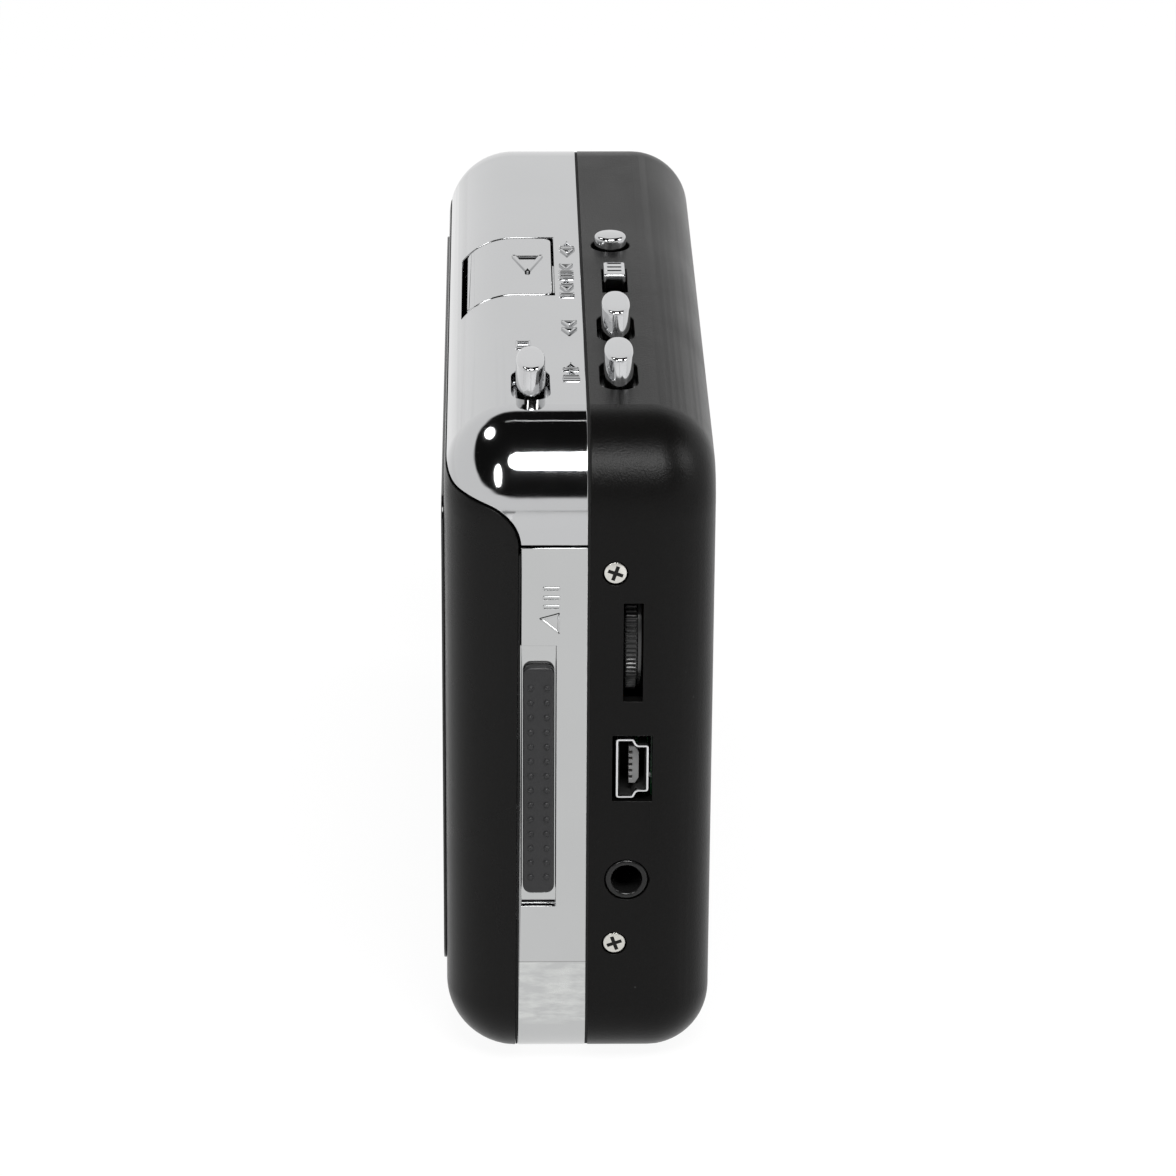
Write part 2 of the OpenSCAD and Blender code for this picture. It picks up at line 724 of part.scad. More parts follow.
module usb_shell() {
    color("#c4c6c8") translate([0, socket_y, socket_z]) {
        difference() {
            along_x([half_w - 9.3, half_w - 0.1]) usb_outline(usb_h, usb_t);
            along_x([half_w - 8.5, half_w + 1]) usb_outline(usb_h - 0.7, usb_t - 0.7);
        }
        for (z = [-3, 2.4]) block([half_w - 9, half_w - 4], [usb_t / 2 - 0.1, board_y - socket_y], [z, z + 0.6]);
    }
}

module usb_tongue() {
    color("#18181a") translate([0, socket_y + 0.1, socket_z]) {
        block([half_w - 8.5, half_w - 1.2], [-0.5, 0.7], [-2.4, 2.4]);
        for (i = [-2:2]) block([half_w - 6.5, half_w - 1.6], [-0.6, -0.5], [0.8 * i - 0.15, 0.8 * i + 0.15]);
    }
}

module headphone_jack() {
    color("#141415") difference() {
        union() {
            block([half_w - jack_len - 1, half_w - wall - 0.2], [jack_y - 3, board_y], [jack_z - 2.9, jack_z + 3]);
            rod_x([half_w - wall - 0.3, half_w], jack_y, jack_z, jack_sleeve_d / 2);
        }
        rod_x([half_w - jack_len, half_w + 1], jack_y, jack_z, jack_bore_d / 2);
    }
}

module circuit_board() {
    board_low_z = cover_high_z + 0.6;
    board_high_z = case_h - 3.2;
    left_x = direction_x - 8;
    right_x = half_w - 3;
    color("#1f5a34") difference() {
        along_y([board_y, board_y + board_t]) polygon([[left_x, reel_z + 10], [8, reel_z + 10], [8, board_low_z],
            [right_x, board_low_z], [right_x, board_high_z - 5], [half_w - 8, board_high_z - 5],
            [half_w - 8, board_high_z], [left_x, board_high_z]]);
        back_screw_places() rod_y(0, [-case_d, 1], 0, 2.6);
    }
}

module board_chips() {
    // [left, low, width, height, thickness] of each chip
    chips = [[half_w - 42, reel_z + 12, 10, 10, 1.4], [half_w - 24, reel_z + 2, 8, 6, 1.6],
        [half_w - 26, reel_z + 24, 12, 8, 1], [direction_x + 1.6, reel_z + 19, 6, 6, 1.5]];
    color("#101011") for (c = chips)
        translate([c[0], board_y + board_t, c[1]]) cube([c[2], c[4], c[3]]);
}

module board_capacitors() {
    places = [[half_w - 10, reel_z - 6], [half_w - 10, reel_z + 2], [half_w - 10, reel_z + 28], [4, reel_z + 30]];
    color("#26324f") for (at = places)
        rod_y(at[0], [board_y + board_t, board_y + board_t + 3.2], at[1], 2.2);
}

module capstan_bearings() {
    color("#b98f4d") for (x = [-1, 1]) difference() {
        rod_y(x * capstan_x, [deck_y - 1, wheel_y - 2.2], capstan_z, 2.5);
        rod_y(x * capstan_x, [deck_y - 2, wheel_y], capstan_z, capstan_r + running);
    }
}

module wheel_bridge() {
    color("#a9acaf") {
        block([-capstan_x - 5, capstan_x + 5], [bridge_y, bridge_y + 0.7], [capstan_z - 3, capstan_z + 3]);
        for (side = [-1, 1]) rod_y(side * (capstan_x - flywheel_r - 2.5), [deck_back_y, bridge_y], capstan_z, 1.2);
    }
}

module flywheel(x) {
    color("#b3a27a") difference() {
        union() {
            rod_y(x, [wheel_y, belt_y - belt_t / 2 - 0.1], capstan_z, flywheel_r);
            rod_y(x, [wheel_y, wheel_y + wheel_t], capstan_z, groove_r);
            rod_y(x, [belt_y + belt_t / 2 + 0.1, wheel_y + wheel_t], capstan_z, flywheel_r);
            if (x > 0) {
                gear_at(x, capstan_z, pinion_teeth, mesh_angle + 180 / pinion_teeth + 180);
                rod_y(x, [gear_y + gear_t - 0.2, wheel_y + 0.2], capstan_z, pinion_r - 1);
            }
        }
        rod_y(x, [gear_y - 1, wheel_y + wheel_t + 1], capstan_z, capstan_r);
    }
}
module flywheel_left() { flywheel(-capstan_x); }
module flywheel_right() { flywheel(capstan_x); }

module capstan(x) {
    color("#dcdee0") rod_y(x, [tape_y - 3.5, wheel_y + wheel_t + 0.25], capstan_z, capstan_r);
}
module capstan_left() { capstan(-capstan_x); }
module capstan_right() { capstan(capstan_x); }

// A spur gear whose first tooth points at an angle in the (X, Z) plane
module gear_at(x, z, teeth, angle) {
    r = teeth * gear_module / 2;
    root = r - 1.1 * gear_module;
    tip = r + 0.75 * gear_module;
    step = 360 / teeth;
    along_y([gear_y, gear_y + gear_t]) translate([x, z]) polygon([for (i = [0:teeth - 1])
        let (a = angle + i * step)
        each [for (p = [[root, -0.31], [r, -0.2], [tip, -0.09], [tip, 0.09], [r, 0.2], [root, 0.31]])
            p[0] * [cos(a + p[1] * step), sin(a + p[1] * step)]]]);
}

module idler_gear() {
    color("#e9e6dc") difference() {
        gear_at(idler_x, idler_z, idler_teeth, mesh_angle);
        rod_y(idler_x, [gear_y - 1, gear_y + gear_t + 1], idler_z, 1 + running);
    }
}

module takeup_gear() {
    idler_phase = (reel_angle - mesh_angle) * idler_teeth / 360;
    color("#e9e6dc") difference() {
        gear_at(reel_x, reel_z, takeup_teeth, reel_angle + 180 + (0.5 + idler_phase) * 360 / takeup_teeth);
        rod_y(reel_x, [gear_y - 1, gear_y + gear_t + 1], reel_z, 1.5);
    }
}

// A reel spindle: six drive fins on a flanged hub, with its shaft through the deck
module spindle(x) {
    color("#ececec") translate([x, 0, reel_z]) {
        rod_y(0, [tape_y - 0.6, deck_y - 0.3], 0, 2.8);
        rod_y(0, [tape_y + 4.8, deck_y - 0.3], 0, 4.9);
        for (a = [0:60:359]) rotate([0, a, 0]) block([2.4, 3.9], [tape_y + 0.6, tape_y + 5], [-0.4, 0.4]);
        rod_y(0, [deck_y - 0.4, gear_y + gear_t + 0.3], 0, 1.5);
    }
}
module takeup_spindle() { spindle(reel_x); }
module supply_spindle() {
    spindle(-reel_x);
    color("#ececec") rod_y(-reel_x, [gear_y, gear_y + 0.8], reel_z, 5);
}

module motor() {
    color("#b0b3b6") {
        rod_y(motor_x, [motor_y, back_y - wall - fit], motor_z, motor_r);
        rod_y(motor_x, [wheel_y + 0.4, motor_y + 1], motor_z, 0.8);
    }
}

module motor_pulley() {
    color("#c9a14a") difference() {
        union() {
            rod_y(motor_x, [belt_y - 1.3, belt_y - belt_t / 2 - 0.1], motor_z, pulley_r + 0.5);
            rod_y(motor_x, [belt_y - 1.3, belt_y + 1.3], motor_z, pulley_r);
            rod_y(motor_x, [belt_y + belt_t / 2 + 0.1, belt_y + 1.3], motor_z, pulley_r + 0.5);
        }
        rod_y(motor_x, [belt_y - 3, belt_y + 3], motor_z, 0.8 + running);
    }
}

module motor_bracket() {
    color("#9fa2a5") difference() {
        union() {
            rod_y(motor_x, [motor_y - 0.6, motor_y], motor_z, motor_r - 1);
            for (a = [70, 160, 250]) rotate_about(motor_x, motor_z, a)
                rod_y(motor_r - 2.5, [deck_back_y, motor_y - 0.6], 0, 1.2);
        }
        rod_y(motor_x, [deck_back_y - 1, motor_y + 1], motor_z, 3.6);
    }
}

module rotate_about(x, z, a) {
    translate([x, 0, z]) rotate([0, -a, 0]) children();
}

// Belt: round the pulley and the right flywheel, with its back on the left flywheel
function heading(a, b) = atan2(b[1] - a[1], b[0] - a[0]);
function arc(c, r, a0, a1, n) = [for (i = [0:n]) let (a = a0 + (a1 - a0) * i / n) c + r * [cos(a), sin(a)]];
function belt_line(offset) = let (
    rp = pulley_r + belt_t / 2,
    rw = groove_r + belt_t / 2,
    up = heading(belt_low, belt_left) - asin((rp + rw) / norm(belt_left - belt_low)),
    over = heading(belt_left, belt_right) + asin(2 * rw / norm(belt_right - belt_left)),
    back = heading(belt_right, belt_low) - asin((rw - rp) / norm(belt_right - belt_low)))
    concat(arc(belt_low, rp + offset, back + 450, up + 90, 16),
        arc(belt_left, rw - offset, up - 90, over - 90, 4),
        arc(belt_right, rw + offset, over + 90, back + 90, 32));

module drive_belt() {
    half = belt_t / 2 - 0.02;
    color("#111112") along_y([belt_y - half, belt_y + half]) difference() {
        polygon(belt_line(half));
        polygon(belt_line(-half));
    }
}

module head_plate() {
    color("#b7babd") difference() {
        along_y([plate_y, plate_y + plate_t]) polygon([[-plate_half_w, plate_z + 2], [-plate_half_w + 2, plate_z],
            [plate_half_w - 2, plate_z], [plate_half_w, plate_z + 2], [plate_half_w, plate_top_z],
            [-plate_half_w, plate_top_z]]);
        pinch_pivots() rod_y(0, [plate_y - 1, plate_y + plate_t + 1], 0, 0.8);
    }
}

// Pivots of the pinch arms on the head plate, one outside each roller
module pinch_pivots() {
    for (side = [-1, 1]) translate([side * (capstan_x + 6.5), 0, roller_z]) children();
}

module tape_head() {
    color("#c8cacc") {
        block([-6, 6], [tape_y - 3.5, plate_y], [tape_z + 2.4, plate_top_z - 1.6]);
        rod_y(0, [tape_y - 3.5, plate_y], tape_z + 2.9, 2.4);
    }
}

module pinch_arm(side) {
    color("#a4a7aa") {
        along_y([plate_y - 1.1, plate_y]) {
            translate([side * (capstan_x + 3.2), roller_z]) square([7, 2.2], center = true);
            translate([side * capstan_x, roller_z]) circle(1.6);
            translate([side * (capstan_x + 6.5), roller_z]) circle(1.6);
        }
        rod_y(side * (capstan_x + 6.5), [plate_y - 0.1, plate_y + plate_t], roller_z, 0.75);
        rod_y(side * capstan_x, [tape_y - roller_len / 2 - 0.3, plate_y - 1], roller_z, 0.7);
    }
}
module pinch_arm_left() { pinch_arm(-1); }
module pinch_arm_right() { pinch_arm(1); }

module pinch_roller(side) {
    color("#19191a") difference() {
        rod_y(side * capstan_x, [tape_y - roller_len / 2, tape_y + roller_len / 2], roller_z, roller_r);
        rod_y(side * capstan_x, [tape_y - roller_len, tape_y + roller_len], roller_z, 0.7 + running);
    }
}
module pinch_roller_left() { pinch_roller(-1); }
module pinch_roller_right() { pinch_roller(1); }

module battery_cells() {
    body = cell_len - 1;
    color("#7c7f45") for (i = [0, 1]) {
        rod_x([cells_x + i * cell_len, cells_x + i * cell_len + body], cell_y, cell_z, cell_d / 2);
        rod_x([cells_x + i * cell_len + body - 0.1, cells_x + (i + 1) * cell_len], cell_y, cell_z, 2.7);
    }
}

module battery_cover() {
    tongue_x = [-half_w + 20, cover_end_x - 4];
    color("#1b1b1d") {
        difference() {
            intersection() {
                case_solid(0);
                block([-half_w - 1, cover_end_x], [back_y - back_edge_r + 0.2, back_y + 1], [cover_low_z, cover_high_z]);
            }
            case_solid(cover_t);
            rod_x([cells_x - 0.2, half_w], cell_y, cell_z, cell_d / 2 + 0.15);
        }
        for (side = [[cover_low_z - 0.8, cover_low_z + 0.35], [cover_high_z - 0.35, cover_high_z + 0.8]])
            block(tongue_x, [back_y - wall - 1, back_y - wall - 0.3], side);
        for (z = [cover_low_z, cover_high_z - 0.35])
            block(tongue_x, [back_y - wall - 0.4, back_y - cover_t + 0.1], [z, z + 0.35]);
    }
}

module battery_contacts() {
    color("#cfd2d4") {
        block([cells_end_x, cells_end_x + 0.4], [cell_y - 5, cell_y + 4], [cell_z - 5, cell_z + 5]);
        block([cells_x - 3.1, cells_x - 2.8], [cell_y - 5, cell_y + 3], [cell_z - 5, cell_z + 5]);
    }
}

module battery_spring() {
    wire = 0.35;
    color("#cfd2d4") translate([cells_x - 2.8 + wire, cell_y, cell_z]) rotate([0, 90, 0])
        helix(3, wire, (2.8 - 2 * wire - 0.04) / 2, 2, 16, 6);
}

module side_screws() {
    color("#c8c6c0") side_screw_places() difference() {
        union() {
            rod_x([-0.75, -0.05], 0, 0, 1.35);
            rod_x([-wall - 2.6, -0.6], 0, 0, 0.75);
        }
        cross_slot();
    }
}

// Cross recess of a screw head that faces +X
module cross_slot() {
    block([-0.5, 1], [-0.85, 0.85], [-0.2, 0.2]);
    block([-0.5, 1], [-0.2, 0.2], [-0.85, 0.85]);
}

module back_screws() {
    color("#3a3a3c") back_screw_places() rotate([0, 0, 90]) difference() {
        union() {
            rod_x([-0.85, -0.05], 0, 0, 1.7);
            rod_x([-9, -0.7], 0, 0, 0.75);
        }
        cross_slot();
    }
}

back_shell();
top_cap();
side_band();
bay_frame();
door_shell();
door_panel();
door_window();
cassette_guides();
cassette_springs();
hinge_pins();
open_slider();
latch_bar();
latch_spring();
play_key();
stop_key();
fast_forward_key();
rewind_key();
direction_key();
mode_knob();
mode_switch();
volume_wheel();
volume_pot();
usb_shell();
usb_tongue();
headphone_jack();
circuit_board();
board_chips();
board_capacitors();
deck_plate();
capstan_bearings();
wheel_bridge();
flywheel_left();
flywheel_right();
capstan_left();
capstan_right();
drive_belt();
motor();
motor_pulley();
motor_bracket();
idler_gear();
takeup_gear();
takeup_spindle();
supply_spindle();
head_plate();
tape_head();
pinch_arm_left();
pinch_arm_right();
pinch_roller_left();
pinch_roller_right();
battery_cells();
battery_cover();
battery_contacts();
battery_spring();
side_screws();
back_screws();
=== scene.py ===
import json
import math

import bmesh
import bpy
from mathutils import Matrix, Vector
from mathutils.bvhtree import BVHTree


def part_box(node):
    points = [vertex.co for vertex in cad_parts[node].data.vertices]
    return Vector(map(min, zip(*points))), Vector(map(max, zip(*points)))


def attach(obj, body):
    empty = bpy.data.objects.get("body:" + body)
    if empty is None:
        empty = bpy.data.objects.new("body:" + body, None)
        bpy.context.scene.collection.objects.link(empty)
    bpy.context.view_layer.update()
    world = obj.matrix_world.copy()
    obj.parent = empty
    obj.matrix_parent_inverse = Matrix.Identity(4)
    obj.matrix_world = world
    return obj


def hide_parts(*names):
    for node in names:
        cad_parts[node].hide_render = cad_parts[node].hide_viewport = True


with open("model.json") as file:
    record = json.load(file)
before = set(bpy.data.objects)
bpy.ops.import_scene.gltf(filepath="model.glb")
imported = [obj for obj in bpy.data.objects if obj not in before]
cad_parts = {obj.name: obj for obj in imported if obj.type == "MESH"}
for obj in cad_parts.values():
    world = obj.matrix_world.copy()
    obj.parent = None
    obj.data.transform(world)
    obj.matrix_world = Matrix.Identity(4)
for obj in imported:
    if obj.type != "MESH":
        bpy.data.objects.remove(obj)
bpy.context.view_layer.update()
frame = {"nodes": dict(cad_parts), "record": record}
nodes = frame["nodes"]
bodyOf = {node: body for body, members in frame["record"]["behaviour"]["bodies"].items() for node in members}
slotOf = {part["node"]: part["material_slot"] for part in frame["record"]["subparts"]}
mm, micron = 0.001, 0.000001
print("stage: model loaded,", len(nodes), "nodes")


def addObject(name, data):
    made = bpy.data.objects.new(name, data)
    bpy.context.scene.collection.objects.link(made)
    return made


# Camera

cameraView = {"place": (0.57054, -0.00957, 0.28933), "yaw": -1.1791, "pitch": 23.6894, "roll": 0.3449,
              "lens": 148.972}


def placeWith(place, right, up, back):
    return Matrix.Translation(place) @ Matrix((right, up, back)).transposed().to_4x4()


def makeCamera(view):
    yaw, pitch, roll = (math.radians(view[key]) for key in ("yaw", "pitch", "roll"))
    back = Vector((math.cos(pitch) * math.cos(yaw), math.cos(pitch) * math.sin(yaw), math.sin(pitch)))
    level = Vector((-math.sin(yaw), math.cos(yaw), 0))
    above = back.cross(level)
    right = level * math.cos(roll) + above * math.sin(roll)
    up = above * math.cos(roll) - level * math.sin(roll)
    data = bpy.data.cameras.new("camera")
    data.lens = view["lens"]
    data.sensor_width = 36
    data.clip_start = 0.01
    camera = addObject("camera", data)
    camera.matrix_world = placeWith(view["place"], right, up, back)
    bpy.context.scene.camera = camera


makeCamera(cameraView)
bpy.context.scene.view_settings.view_transform = "Standard"
print("stage: camera")


# Shader groups shared by the materials


def newGroup(name, inputs, outputs):
    group = bpy.data.node_groups.new(name, "ShaderNodeTree")
    for socket, value in inputs.items():
        made = group.interface.new_socket(socket, in_out="INPUT", socket_type="NodeSocketFloat")
        made.default_value = value
    for socket in outputs:
        group.interface.new_socket(socket, in_out="OUTPUT", socket_type="NodeSocketFloat")
    return group, group.nodes.new("NodeGroupInput"), group.nodes.new("NodeGroupOutput")


# A shader node; a dictionary among its values fills its inputs
def addNode(tree, kind, **values):
    node = tree.nodes.new("ShaderNode" + kind)
    for key, value in values.items():
        if isinstance(value, dict):
            for socket, content in value.items():
                node.inputs[socket].default_value = content
        else:
            setattr(node, key, value)
    return node


# Links as from-node, output, to-node, input
def wire(tree, *links):
    for source, output, target, socket in links:
        tree.links.new(source.outputs[output], target.inputs[socket])


def linkOrSet(tree, socket, value):
    if isinstance(value, bpy.types.NodeSocket):
        tree.links.new(value, socket)
    else:
        socket.default_value = value


# One operation over two or more values, from left to right
def addMath(tree, operation, first, *others):
    for value in others:
        node = addNode(tree, "Math", operation=operation)
        linkOrSet(tree, node.inputs[0], first)
        linkOrSet(tree, node.inputs[1], value)
        first = node.outputs["Value"]
    return first


# How far a value has come from low to high, between 0 and 1
def addRamp(tree, value, low, high, kind="LINEAR"):
    ramp = addNode(tree, "MapRange", interpolation_type=kind, inputs={"From Min": low, "From Max": high})
    tree.links.new(value, ramp.inputs["Value"])
    return ramp.outputs["Result"]


# Place on the piece along X, Y and Z
def placeParts(tree):
    place, parts = addNode(tree, "TexCoord"), addNode(tree, "SeparateXYZ")
    wire(tree, (place, "Object", parts, "Vector"))
    return parts.outputs


# A colour is three values, or one number for a grey
def rgba(color):
    return (*color, 1) if isinstance(color, tuple) else (color, color, color, 1)


# Base colour with further colours over it, each as far as its factor says
def paint(tree, shader, color, *layers):
    below = rgba(color)
    for over, factor in layers:
        mix = addNode(tree, "Mix", data_type="RGBA")
        linkOrSet(tree, mix.inputs[6], below)
        mix.inputs[7].default_value = rgba(over)
        tree.links.new(factor, mix.inputs[0])
        below = mix.outputs[2]
    tree.links.new(below, shader.inputs["Base Color"])


# Moulded grain: a fine height and a soft uneven shade
def makeGrainGroup():
    group, into, out = newGroup("mouldedGrain", {"Grain Scale": 4000, "Shade Scale": 60}, ("Height", "Shade"))
    place = addNode(group, "TexCoord")
    fine = addNode(group, "TexNoise", inputs={"Detail": 3, "Roughness": 0.6})
    soft = addNode(group, "TexNoise", inputs={"Detail": 4, "Roughness": 0.55})
    for noise, scale, made in ((fine, "Grain Scale", "Height"), (soft, "Shade Scale", "Shade")):
        wire(group, (place, "Object", noise, "Vector"), (into, scale, noise, "Scale"), (noise, "Fac", out, made))
    return group


# Handling: roughness that wanders between two values, with specks of dust
def makeHandlingGroup():
    group, into, out = newGroup("handling", {"Scale": 45, "Smooth": 0.3, "Rough": 0.5}, ("Roughness", "Dust"))
    place = addNode(group, "TexCoord")
    smudge = addNode(group, "TexNoise", inputs={"Detail": 5, "Roughness": 0.65, "Distortion": 0.6})
    spread = addNode(group, "MapRange", inputs={"From Min": 0.3, "From Max": 0.7})
    specks = addNode(group, "TexVoronoi", inputs={"Scale": 420})
    wire(group, (place, "Object", smudge, "Vector"), (place, "Object", specks, "Vector"),
         (into, "Scale", smudge, "Scale"), (smudge, "Fac", spread, "Value"), (into, "Smooth", spread, "To Min"),
         (into, "Rough", spread, "To Max"), (spread, "Result", out, "Roughness"))
    near = addRamp(group, specks.outputs["Distance"], 0.07, 0.02)
    thin = addRamp(group, smudge.outputs["Fac"], 0.58, 0.66)
    group.links.new(addMath(group, "MULTIPLY", near, thin), out.inputs["Dust"])
    return group


# Drawn metal: fine lines along one direction
def makeDrawnGroup():
    group, into, out = newGroup("drawnLines", {"Across X": 900, "Across Y": 900, "Across Z": 900},
                                ("Height", "Shade"))
    place = addNode(group, "TexCoord")
    across = addNode(group, "CombineXYZ")
    stretch = addNode(group, "VectorMath", operation="MULTIPLY")
    lines = addNode(group, "TexNoise", inputs={"Scale": 1, "Detail": 4, "Roughness": 0.6})
    clouds = addNode(group, "TexNoise", inputs={"Scale": 90, "Detail": 3})
    for axis in "XYZ":
        wire(group, (into, "Across " + axis, across, axis))
    wire(group, (place, "Object", stretch, 0), (across, "Vector", stretch, 1), (stretch, "Vector", lines, "Vector"),
         (place, "Object", clouds, "Vector"), (lines, "Fac", out, "Height"), (clouds, "Fac", out, "Shade"))
    return group


grainGroup, handlingGroup, drawnGroup = makeGrainGroup(), makeHandlingGroup(), makeDrawnGroup()


def newMaterial(name, color, metallic=0, sockets=None):
    material = bpy.data.materials.new(name)
    material.use_nodes = True
    tree = material.node_tree
    shader = tree.nodes["Principled BSDF"]
    shader.inputs["Base Color"].default_value = rgba(color)
    shader.inputs["Metallic"].default_value = metallic
    for socket, value in (sockets or {}).items():
        shader.inputs[socket].default_value = value
    return material, tree, shader


def addHandling(tree, shader, scale, roughness):
    handling = addNode(tree, "Group", node_tree=handlingGroup,
                       inputs={"Scale": scale, "Smooth": roughness[0], "Rough": roughness[1]})
    wire(tree, (handling, "Roughness", shader, "Roughness"))
    return handling


def addLines(tree, across):
    return addNode(tree, "Group", node_tree=drawnGroup,
                   inputs={"Across " + axis: scale for axis, scale in zip("XYZ", across)})


def addGrain(tree, scale):
    return addNode(tree, "Group", node_tree=grainGroup, inputs={"Grain Scale": scale})


# Bump from a height, with its depth in microns
def bumpFrom(tree, shader, height, depth):
    bump = addNode(tree, "Bump", inputs={"Distance": depth * micron, "Strength": 1})
    tree.links.new(height, bump.inputs["Height"])
    wire(tree, (bump, "Normal", shader, "Normal"))


# A moulded or plated finish: grain, uneven sheen and a little dust
def mouldedMaterial(name, color, shade, dust, roughness, grain, depth, specular, metallic=0, smudge=45,
                    sockets=None):
    material, tree, shader = newMaterial(name, color, metallic, {"Specular IOR Level": specular, **(sockets or {})})
    texture = addGrain(tree, grain)
    handling = addHandling(tree, shader, smudge, roughness)
    paint(tree, shader, color, (shade, texture.outputs["Shade"]), (dust, handling.outputs["Dust"]))
    bumpFrom(tree, shader, texture.outputs["Height"], depth)
    return material


# Bare metal with drawn or turned lines
def metalMaterial(name, color, shade, roughness, across, depth):
    material, tree, shader = newMaterial(name, color, 1)
    lines = addLines(tree, across)
    addHandling(tree, shader, 70, roughness)
    paint(tree, shader, color, (shade, lines.outputs["Shade"]))
    bumpFrom(tree, shader, lines.outputs["Height"], depth)
    return material


# Colour, uneven shade, dust, roughness from and to, grain scale, depth in microns, specular level
finishes = {
    "blackMoulding": ((0.0028, 0.0027, 0.0026), (0.0042, 0.004, 0.0039), 0.07, (0.27, 0.36), 4200, 30, 0.11),
    "doorMoulding": ((0.0032, 0.0031, 0.003), (0.0048, 0.0046, 0.0045), 0.05, (0.24, 0.34), 5200, 20, 0.13),
    "panelGloss": ((0.006, 0.006, 0.0065), (0.008, 0.008, 0.0085), 0.08, (0.1, 0.18), 900, 4, 0.5),
    "plating": ((0.52, 0.524, 0.53), (0.485, 0.489, 0.495), (0.52, 0.524, 0.53), (0.045, 0.1), 160, 12, 0.5),
    "keyPlating": ((0.57, 0.573, 0.58), (0.52, 0.523, 0.53), (0.57, 0.573, 0.58), (0.06, 0.13), 300, 10, 0.5),
    "padMoulding": ((0.015, 0.015, 0.016), (0.022, 0.022, 0.023), 0.15, (0.38, 0.5), 5000, 20, 0.3),
    "wheelMoulding": (0.016, 0.03, 0.2, (0.22, 0.34), 2500, 10, 0.5),
    "tongueMoulding": (0.13, 0.17, 0.3, (0.4, 0.55), 3000, 10, 0.5),
    # Also the finish of the sheets of painted shade in the screw recesses and the data socket
    "darkSealAndPaintedShade": (0.006, 0.01, 0.05, (0.7, 0.85), 3000, 20, 0.2),
    "innerMoulding": ((0.022, 0.022, 0.023), (0.03, 0.03, 0.031), 0.15, (0.45, 0.6), 2500, 30, 0.5),
    "glossBlack": (0.005, 0.009, 0.005, (0.16, 0.26), 1500, 6, 0.3),
    "rubber": (0.018, 0.03, (0.12, 0.12, 0.11), (0.6, 0.8), 3000, 40, 0.5),
    "acetal": ((0.78, 0.76, 0.7), (0.7, 0.68, 0.62), (0.4, 0.38, 0.34), (0.35, 0.5), 1200, 10, 0.5),
    "chipBody": ((0.02, 0.02, 0.021), (0.035, 0.035, 0.036), 0.2, (0.4, 0.55), 6000, 30, 0.5),
    "capSleeve": ((0.035, 0.05, 0.13), (0.03, 0.04, 0.1), 0.2, (0.2, 0.32), 900, 6, 0.5),
    "phenolic": ((0.16, 0.11, 0.07), (0.22, 0.15, 0.09), (0.3, 0.25, 0.2), (0.35, 0.5), 1800, 10, 0.5),
}
finishExtras = {
    "plating": {"metallic": 1, "smudge": 80},
    "keyPlating": {"metallic": 1, "smudge": 200},
    "acetal": {"sockets": {"Subsurface Weight": 0.1, "Subsurface Radius": (0.001, 0.001, 0.0008)}},
}
# Colour, uneven shade, roughness from and to, lines across X, Y and Z, depth in microns
metals = {
    "sheetSteel": ((0.56, 0.57, 0.58), (0.47, 0.48, 0.49), (0.26, 0.42), (40, 300, 2600), 6),
    "springSteel": ((0.66, 0.64, 0.58), (0.52, 0.5, 0.45), (0.18, 0.32), (2200, 200, 200), 4),
    "screwSteel": ((0.7, 0.69, 0.66), (0.55, 0.54, 0.5), (0.16, 0.34), (1500, 2500, 400), 8),
    "blackScrew": ((0.05, 0.05, 0.052), (0.09, 0.085, 0.08), (0.28, 0.44), (1500, 400, 2500), 8),
    "shaftSteel": ((0.72, 0.73, 0.75), (0.64, 0.65, 0.67), (0.08, 0.16), (200, 3000, 200), 3),
    "brass": ((0.62, 0.47, 0.2), (0.52, 0.38, 0.15), (0.2, 0.34), (2500, 60, 2500), 4),
    "goldContact": ((0.83, 0.62, 0.26), (0.75, 0.54, 0.2), (0.14, 0.24), (200, 2000, 2000), 2),
    "socketSteel": ((0.7, 0.7, 0.71), (0.58, 0.58, 0.59), (0.14, 0.26), (1500, 1500, 1500), 6),
}
materials = {name: mouldedMaterial(name, *look, **finishExtras.get(name, {})) for name, look in finishes.items()}
materials.update({name: metalMaterial(name, *look) for name, look in metals.items()})


# Smoked clear plastic of the window

smokedWindow = {"color": (0.42, 0.43, 0.45), "roughness": (0.01, 0.05),
                "sockets": {"Transmission Weight": 1, "IOR": 1.49}}


def windowMaterial(look):
    material, tree, shader = newMaterial("smokedWindow", look["color"], sockets=look["sockets"])
    addHandling(tree, shader, 60, look["roughness"])
    return material


# Green board with thin copper runs under its mask

circuitBoard = {"mask": (0.012, 0.075, 0.03), "copper": (0.05, 0.16, 0.06), "roughness": (0.18, 0.32), "depth": 20,
                "runs": {"Scale": 260, "Mortar Size": 0.035, "Mortar Smooth": 0.3, "Brick Width": 1.7,
                         "Row Height": 0.42}}


def boardMaterial(look):
    material, tree, shader = newMaterial("circuitBoard", look["mask"])
    place = addNode(tree, "TexCoord")
    turn = addNode(tree, "Mapping", inputs={"Rotation": (math.radians(90), 0, 0)})
    runs = addNode(tree, "TexBrick", offset=0.37, squash=1.6, squash_frequency=3, inputs=look["runs"])
    wire(tree, (place, "Object", turn, "Vector"), (turn, "Vector", runs, "Vector"))
    paint(tree, shader, look["mask"], (look["copper"], runs.outputs["Fac"]))
    addHandling(tree, shader, 90, look["roughness"])
    bumpFrom(tree, shader, runs.outputs["Fac"], look["depth"])
    return material


# Cell jacket: a dark sleeve with a copper band and a bare end, once along each cell

cellJacket = {"sleeve": (0.02, 0.021, 0.024), "copper": (0.7, 0.36, 0.16), "steel": 0.72,
              "roughness": (0.18, 0.34), "bandFrom": 0.0375, "bareFrom": 0.0494, "edge": 0.0001}


